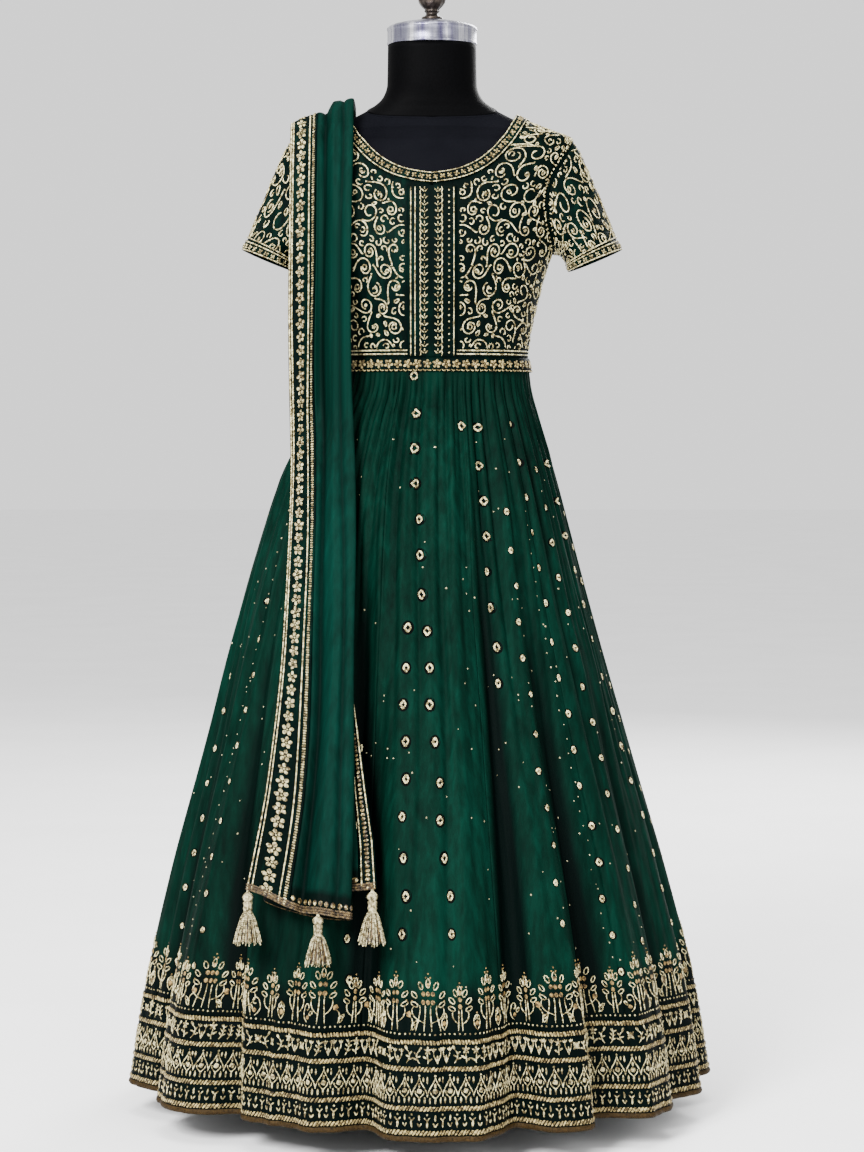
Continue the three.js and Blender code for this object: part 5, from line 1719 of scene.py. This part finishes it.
def rope(name, low, high, pitch, lean, seed):
    """A braid of slanted padded stitches round the border."""
    local = np.random.default_rng(seed)
    count, _ = spread(pitch)
    tall = high - low
    shape = np.array([(-0.5, 0.06), (0.1, 0), (0.5, 0.3), (0.5, 0.94), (-0.1, 1), (-0.5, 0.7)])
    outlines = []
    for k in range(count):
        stitch = shape * (pitch * local.uniform(0.58, 0.84), tall * local.uniform(0.88, 1.04))
        stitch[:, 0] += (stitch[:, 1] - tall / 2) * lean
        outlines.append(stitch + ((k + 0.5) * HEM_LENGTH / count, low))
    merge(f"{name}_stitches", pads(outlines, skirt_place(2.1), 0.9), ZARI)


rope("Zari_low", 8, 14.6, 4.4, 0.5, 301)
rope("Zari_middle", 37.6, 43.8, 4.4, 0.5, 302)
rope("Zari_high", 85.6, 91.8, 4.4, 0.5, 303)
rope("Zari_top", 118, 124, 4.2, -0.4, 304)

BUSH_FOOT_Z, SPROUT_FOOT_Z = 134.5, 135


def bush(kind):
    """A flowering bush that stands on the border's top line."""
    tall, wide = ((66, 21), (52, 17), (62, 33))[kind]
    stems = ((-0.2, 0.2), (-0.14, 0.14), (-0.42, -0.13, 0.13, 0.42))[kind]
    foot = tall * 0.46
    head = tall - foot
    lines, filled = [], []
    for s in stems:
        low, high = (s * wide * 0.95, foot * 0.5), (s * wide * 0.6, foot * 0.8)
        lines.append(bezier((s * wide * 1.15, 0), low, high, (s * wide * 0.8, foot + 2), 8))
    # outlined petals all round a cone, and gold brown stitches inside it
    for spread_share, share in ((0.5, 0), (0.56, 0.45), (0.3, 0.9)):
        half = wide * spread_share
        y = foot + head * (0.02 + 0.66 * share)
        for hand in (-1, 1):
            lean = -hand * (1.1 - 0.75 * share)
            lines.append(closed(leaf(10, 5.2, 8, hand * half * 0.8, y, lean)))
        beads = max(1, int(half / 5))
        for j in range(beads):
            filled.append(ellipse(2.7, 3.1, 7, (j - (beads - 1) / 2) * 6.2, y + 5))
    lines.append(closed(leaf(11, 5.4, 8, 0, foot + head * 0.68)))
    knots = [(0, tall + 6), (-2.8, tall + 1.4), (2.8, tall + 1.4)]
    for hand in (-1, 1):
        shares = (0.16, 0.35), (0.6, 0.5), (0.72, 0.8), (0.58, 1)
        lines.append(bezier(*[(hand * wide * x, foot * y) for x, y in shares], 6))
        knots.append((hand * (wide * 0.5 + 4.5), foot + head * 0.2))
    return lines, filled, knots


def sprout(kind):
    """A small plant between two bushes."""
    lines, filled, knots = [], [], []
    if kind == 0:
        lines.append(bezier((0, 0), (3.5, 7), (3, 13), (-2.5, 17), 7))
        filled.append(at(rosette(4.2, 5, 15), -3.6, 20))
        lines.append(closed(leaf(8, 3.6, 8, 2.6, 6, -0.9)))
        lines.append(closed(drop(8, 5.6, 9, 2.4, 0.5, -0.25)))
    elif kind == 1:
        lines.append(at(curl(5.4, 0.9, -0.4, 1, 10), 0, 17))
        lines.append(bezier((0, 0), (6, 4), (7, 10), (5, 15), 6))
        filled.append(at(rosette(3.2, 4, 12), -1, 6.5))
        lines.append(closed(leaf(7, 3.4, 7, -4, 9, 0.7)))
    else:
        for hand in (-1, 1):
            lines.append(bezier((0, 0), (hand * 4.5, 5), (hand * 6, 11), (hand * 3.4, 15), 6))
            lines.append(closed(leaf(7, 3.4, 7, hand * 3.2, 13.5, hand * 0.4)))
        filled.append(at(rosette(3.8, 4, 12), 0, 9))
        knots.append((0, 21))
    return lines, filled, knots


lines, filled, knots = [], [], []
local = np.random.default_rng(91)
count, spacing = spread(43)
for k in range(count):
    x = (k + 0.5) * spacing + local.uniform(-1.5, 1.5)
    stretch = local.uniform(0.94, 1.06)
    shapes = bush((0, 1, 2, 0, 2, 1, 0)[k % 7])
    lines += [at(shape, x, BUSH_FOOT_Z, stretch) for shape in shapes[0]]
    filled += [at(shape, x, BUSH_FOOT_Z, stretch) for shape in shapes[1]]
    knots += [(x + p * stretch, BUSH_FOOT_Z + q * stretch) for p, q in shapes[2]]
    x += spacing * 0.5
    flip = -1 if local.uniform() < 0.5 else 1
    shapes = sprout(int(local.integers(0, 3)))
    lines += [at(shape, x, SPROUT_FOOT_Z, local.uniform(0.9, 1.1), 0, flip) for shape in shapes[0]]
    filled += [at(shape, x, SPROUT_FOOT_Z, local.uniform(0.9, 1.1), 0, flip) for shape in shapes[1]]
    knots += [(x + p * flip, SPROUT_FOOT_Z + q) for p, q in shapes[2]]
sew_hem("Hem_bushes", lines, filled, knots, 1.3, (CORD, HEART))

# Small ringed motifs in columns down the skirt: angle at the waist and hem, first and
# last share of the way down, and size. The first ones are on the front.
BUTI_COLUMNS = [
    (-8.5, 8.2, 0.015, 0.785, 1.0),
    (-9, -4.6, 0.34, 0.785, 1.0),
    (13.5, 13.5, 0.06, 0.1, 0.9),
    (22.5, 24.5, 0.05, 0.45, 0.92),
    (33, 30, 0.2, 0.77, 0.62),
    (45, 45, 0.07, 0.82, 0.72),
    (56, 54, 0.12, 0.82, 0.7),
    (70, 72, 0.1, 0.82, 0.8),
    (90, 90, 0.06, 0.82, 0.8),
    (-24, -17, 0.5, 0.82, 0.86),
    (-66, -52, 0.3, 0.82, 0.62),
    (-78, -70, 0.2, 0.82, 0.66),
    (-92, -90, 0.08, 0.82, 0.8),
]
for k, angle in enumerate(range(104, 262, 13)):
    low, start = angle + 3 * math.sin(angle), 0.04 + 0.05 * (k % 3)
    BUTI_COLUMNS.append((angle, low, start, 0.82, 0.95))


def degree_at(angle, down):
    """The length of one degree round the unfolded skirt."""
    across = skirt_point(np.array([angle]), np.array([down]), False)[0, :2]
    return np.hypot(*across) * math.pi / 180


rings, backs = [], []
ring = ellipse(1, 1, 14)
pinch = 1 - 0.3 * np.abs(np.sin(2 * np.arctan2(ring[:, 1], ring[:, 0])))
for column, (top, low, start, end, size) in enumerate(BUTI_COLUMNS):
    down = start + 0.012 * (column % 4)
    k = 0
    while down < end:
        angle = top + (low - top) * down**0.85 + 0.5 * math.sin(k * 1.9 + column)
        scale = size * (0.92 + 0.16 * abs(math.sin(k * 2.3 + column * 1.1)))
        chart = np.array([1 / degree_at(angle, down), -1 / SKIRT_LENGTH])
        rings.append((angle, down) + closed(ring * pinch[:, None] * (3.1, 5.4) * scale) * chart)
        backs.append((angle, down) + ring * (6.3, 8.6) * scale * chart)
        down += 0.0475 if k % 5 else 0.052
        k += 1
merge("Buti_backs", pads(backs, angle_place(1.55), 0.15), OUTLINE)
merge("Buti_rings", [cords(rings, angle_place(1.9), 2.6, 1.1)], CORD)

# Sequins strewn over the skirt, and rows of them along some fold edges.
STREWN_SEQUINS = 520
SEQUINS_LOWEST = 0.84
local = np.random.default_rng(101)
spots = []
for _ in range(STREWN_SEQUINS):
    down = local.uniform(0.03, 0.83) ** 0.75
    if down <= SEQUINS_LOWEST:
        spots.append((local.uniform(0, 360), down, local.uniform(0.6, 1.1)))
for top, low in ((41, 45), (-62, -58), (140, 142)):
    for k, down in enumerate(np.arange(0.2, 0.8, 0.019)):
        angle = top + (low - top) * down + 0.35 * math.sin(k * 1.7)
        spots.append((angle, down, local.uniform(0.55, 0.95)))
discs = [
    (angle, down) + ellipse(size, size * 1.25, 6) / (degree_at(angle, down), SKIRT_LENGTH)
    for angle, down, size in spots
]
merge("Sequins", pads(discs, angle_place(1.7), 0.7), SEQUIN)

# ---- scarf ----

WIDE_BORDER_SHARE = 0.2085
SCARF_ENDS = (0.0005, 0.9995)
SCARF_ALONG = np.concatenate(
    [
        np.linspace(SCARF_ENDS[0], SCARF_FRONT_END, 130)[:-1],
        np.linspace(SCARF_FRONT_END, SCARF_BACK_START, 60)[:-1],
        np.linspace(SCARF_BACK_START, SCARF_ENDS[1], 110),
    ]
)


def scarf_piece(name, first, last, count, material, with_dark=0):
    share, along = np.meshgrid(np.linspace(first, last, count), SCARF_ALONG)
    outer = scarf_point(share, along)
    normal = scarf_out(share, along)
    uv = np.stack([share * SCARF_UV_WIDTH, along * SCARF_UV_LENGTH], -1)
    down = np.clip(scarf_down(along), 0, 1)
    # Painted shade in the fold valleys, on the folded-under layer and beside the wide border's
    # seam; the cloth is also darker at both ends.
    painted_valley_shade = 0.9 * bump_at(share, first_valley(down), 0.017)
    painted_valley_shade = painted_valley_shade + 0.62 * bump_at(share, second_valley(down), 0.012)
    painted_valley_shade = painted_valley_shade + 0.75 * np.clip((share - 0.455) / 0.03, 0, 1) * (share < 0.85)
    painted_valley_shade = painted_valley_shade + 0.3 * bump_at(share, 0.215, 0.012)
    end = np.clip((0.014 - np.minimum(along, 1 - along)) / 0.004, 0, 1)
    dark = np.clip(np.maximum(painted_valley_shade, end), 0, 1) * with_dark
    inner = outer - normal * CLOTH
    shell(name, outer, inner, material, uv, dark=dark)


scarf_piece("Scarf_wide_border", 0, WIDE_BORDER_SHARE, 16, GROUND)
scarf_piece("Scarf_cloth", 0.2115, 0.9585, 66, SCARF, 1)
scarf_piece("Scarf_narrow_border", 0.9615, 1, 5, GROUND)

scarf_arc = arc_of(scarf_point(0.1, SCARF_ALONG))
SCARF_LENGTH = float(scarf_arc[-1])
BORDER_WIDTH = float(steps_of(scarf_point(np.linspace(0, WIDE_BORDER_SHARE, 20), 0.2)).sum())


def scarf_share_place(lift):
    """Share of the scarf's width, and share of its length from the front end."""

    def place(flat):
        normal = scarf_out(*flat.T)
        return scarf_point(*flat.T) + normal * lift, normal

    return place


def scarf_place(flat):
    """Distance up from the front end, and distance in from the outer edge."""
    along = np.interp(flat[:, 0], scarf_arc, SCARF_ALONG)
    share = flat[:, 1] / BORDER_WIDTH * WIDE_BORDER_SHARE
    return scarf_share_place(0.1)(np.stack([share, along], -1))


drawn = flower_row(SCARF_LENGTH, 17.4, BORDER_WIDTH * 0.43, 12.6, 111, petals=5)
drawn[0].extend([straight(SCARF_LENGTH, BORDER_WIDTH * share) for share in (0.045, 0.13, 0.74)])
sew("Scarf_flowers", drawn, scarf_place, width=1.9, height=1.0)
count = int(SCARF_LENGTH / 3.3)
middles = ((k + 0.5) * SCARF_LENGTH / count for k in range(count))
beads = [ellipse(1.2, 2.4, 6, x, BORDER_WIDTH * 0.89) for x in middles]
merge("Scarf_beads", pads(beads, scarf_place, 1.3), PAD)

# The narrow border's cords and beads, and the cords and beads along both ends.
down_line, across_line = np.linspace(0.0006, 0.9994, 500), np.linspace(0.002, 0.998, 150)
edge = [np.stack([np.full(500, share), down_line], -1) for share in (0.966, 0.995)]
ends = [
    np.stack([across_line, np.full(150, along)], -1)
    for along in (0.0006, 0.0019, 0.0032, 0.9968, 0.9981, 0.9994)
]
merge("Scarf_edge_cords", [cords(edge, scarf_share_place(0.2), 1.5, 1.1)], CORD)
merge("Scarf_end_cords", [cords(ends, scarf_share_place(0.2), 2.7, 1.1)], END_CORD)
count = int(SCARF_LENGTH / 5)
small = [(0.9805, (k + 0.5) / count) + ellipse(0.0065, 0.0009, 6) for k in range(count)]
for along in (0.0058, 0.9942):
    small += [(share, along) + ellipse(0.0085, 0.0015, 8) for share in np.linspace(0.222, 0.95, 30)]
merge("Scarf_edge_beads", pads(small, scarf_share_place(0.15), 1.0), PAD)

# ---- tassels ----

TASSEL_LENGTH, TASSEL_RADIUS = 65, 18.6
HEAD_END = 26  # where the head's winding ends and the strands hang free
STRANDS, STRAND_STEPS, STRAND_RADIUS = 58, 7, 0.78
GOLDEN_ANGLE = 2.39996
# Distance down and radius of the head, and of the dark cone of painted shade between the strands.
# fmt: off
HEAD = [
    (0, 1.4), (1.5, 1.8), (3, 2.4), (4.2, 4.2), (5.6, 5.7), (7.4, 6.6), (9.2, 6.7), (11, 6.1),
    (12.4, 5), (13.4, 4.1), (14.4, 4.4), (16, 4.9), (20, 5.1), (24, 4.7), (26, 4.9), (27.6, 5.6),
]
# fmt: on
SHADE_CONE = [(26, 4), (36, 8.6), (50, 12), (60, 13.4)]
tassel_turn = np.arange(16) / 16 * TAU


def tassel_lean(hem, front):
    """How far the skirt pushes a tassel out of the vertical."""
    reach = TASSEL_RADIUS * 1.05 + 1.8
    lean = 0.0
    for drop_down in (10, 19, 42, TASSEL_LENGTH):
        wide = 4 + (reach - 4) * (drop_down - 16) / (TASSEL_LENGTH - 16)
        half = 8 if drop_down < 20 else wide
        x = hem[0] + half * np.array([-1, 1])
        pushed = hang_at(x, np.full(2, hem[2] - drop_down), np.full(2, not front)).max()
        lean = max(lean, (pushed + half - abs(hem[1])) / drop_down)
    return -lean if front else lean


def ringed(outline, ripple_depth=0.0):
    """Points on rings hung one below another."""
    rings = []
    for down, radius in outline:
        r = radius * (1 + ripple_depth * np.cos(8 * tassel_turn) * (down > 3))
        rings.append(vectors(r * np.cos(tassel_turn), r * np.sin(tassel_turn), -down))
    return np.concatenate(rings)


def strand(k, local):
    """One thread that hangs from the head, three-sided."""
    ring_share = ((k + 0.5) / STRANDS) ** 0.3
    angle = k * GOLDEN_ANGLE + local.uniform(-0.2, 0.2)
    root, tip = 5 * ring_share, TASSEL_RADIUS * ring_share * local.uniform(0.9, 1.05)
    length = TASSEL_LENGTH - local.uniform(0, 4.5)
    t = np.linspace(0, 1, STRAND_STEPS)
    radius = root + (tip - root) * t**0.72
    swirl = angle + local.uniform(-0.12, 0.12) * t
    down = HEAD_END + (length - HEAD_END) * t
    centre = vectors(radius * np.cos(swirl), radius * np.sin(swirl), -down)
    corner = np.array([0, TAU / 3, 2 * TAU / 3]) + angle
    offset = np.stack([np.cos(corner), np.sin(corner), np.zeros(3)], -1) * STRAND_RADIUS
    points = (centre[:, None] + offset[None]).reshape(-1, 3)
    uv = np.stack([np.repeat(down, 3), np.tile([0, 0.5, 1], STRAND_STEPS)], -1)
    return points, uv, grid_faces(STRAND_STEPS, 3, flip=True)


def winding(down):
    """One turn of the cord wound round the head."""
    a = np.linspace(0, TAU, 25)
    radius = 5 - 0.3 * math.cos(down)
    core = vectors(radius * np.cos(a), radius * np.sin(a), -down)
    out = np.stack([np.cos(a), np.sin(a), np.zeros(25)], -1)
    rows = [core + (0, 0, 0.6), core + out * 0.8, core - (0, 0, 0.6)]
    uv = np.stack([np.repeat(a * 5, 3), np.tile([0, 0.5, 1], 25)], -1)
    return np.stack(rows, axis=1).reshape(-1, 3), uv, ribbon_faces(np.arange(24) * 3)


def tassel(name, share, front):
    along, near_end = (SCARF_ENDS[0], 0.006) if front else (SCARF_ENDS[1], 0.994)
    hem = scarf_point(np.array([share]), np.array([along]))[0]
    hem = hem - scarf_out(np.array([share]), np.array([near_end]))[0] * 0.6
    hem[2] -= 0.6
    lean = tassel_lean(hem, front)
    uv = np.stack([np.tile(tassel_turn * 6, len(HEAD)), np.repeat([h[0] for h in HEAD], 16)], -1)
    local = np.random.default_rng(200 + len(name) * 7 + int(share * 100))
    parts = [(ringed(HEAD, 0.05), uv, grid_faces(len(HEAD), 16, flip=True))]
    parts += [strand(k, local) for k in range(STRANDS)]
    parts += [winding(down) for down in np.arange(14.4, 26.5, 1.3)]
    # A dark cone inside the strands stands for the shade between them: painted shade.
    shade_cone = [(ringed(SHADE_CONE), uv[: 4 * 16], grid_faces(4, 16, flip=True))]
    for title, material, made in ((name, TASSEL, parts), (name + "_shade_cone", END_CORD, shade_cone)):
        hung = []
        for points, coordinates, faces in made:
            points[:, 1] -= points[:, 2] * lean
            hung.append((points + hem, coordinates, faces))
        merge(title, hung, material, title == name)


for end in ("Front", "Back"):
    for place_name, share in (("Outer", 0.012), ("Middle", 0.34), ("Inner", 0.99)):
        tassel(f"Tassel_{end}_{place_name}", share, end == "Front")

# ---- stage, lights and camera ----

FLOOR_HALF = 30


def placed(name, data, location=(0, 0, 0), rotation=(0, 0, 0)):
    made = bpy.data.objects.new(name, data)
    made.location = location
    made.rotation_euler = rotation
    bpy.context.scene.collection.objects.link(made)
    return made


floor_mesh = bpy.data.meshes.new("Floor")
corners = [(x * FLOOR_HALF, y * FLOOR_HALF, 0) for x, y in ((-1, -1), (1, -1), (1, 1), (-1, 1))]
floor_mesh.from_pydata(corners, [], [(0, 1, 2, 3)])
pale = [(0.3, (0.9, 0.9, 0.9)), (0.7, (0.94, 0.94, 0.94))]
floor_mesh.materials.append(speckled("studio floor", (3, 3, 3), 2.0, 0.5, pale, None, 0.9))
placed("Floor", floor_mesh)

world = bpy.data.worlds.new("Studio")
bpy.context.scene.world = world
world.use_nodes = True
background = world.node_tree.nodes["Background"].inputs
background["Color"].default_value = (1, 1, 1, 1)
background["Strength"].default_value = 1.35


def area_light(name, location, size, energy, aim=(0, 0, 0.8)):
    data = bpy.data.lights.new(name, "AREA")
    data.shape = "RECTANGLE"
    data.size, data.size_y = size
    data.energy = energy
    x, y, z = np.array(aim) - np.array(location)
    placed(name, data, location, (math.atan2(math.hypot(x, y), -z), 0, math.atan2(-x, y)))


area_light("Key", (-1.7, -3.6, 3.0), (1.4, 1.8), 600)
area_light("Fill", (2.6, -3.2, 1.8), (1.6, 2.4), 50)
area_light("Top", (0, -0.6, 4.2), (2.4, 2.4), 160)
area_light("Back", (1.6, 3.8, 2.8), (1.8, 2.2), 260)

camera_data = bpy.data.cameras.new("Camera")
camera_data.lens = 91.9
camera_data.sensor_width = 36
camera_data.dof.use_dof = False
tilt = math.radians(2.842)
camera = placed("Camera", camera_data, (0, -4.0, 0.92), (math.pi / 2 - tilt, 0, 0))
bpy.context.scene.camera = camera
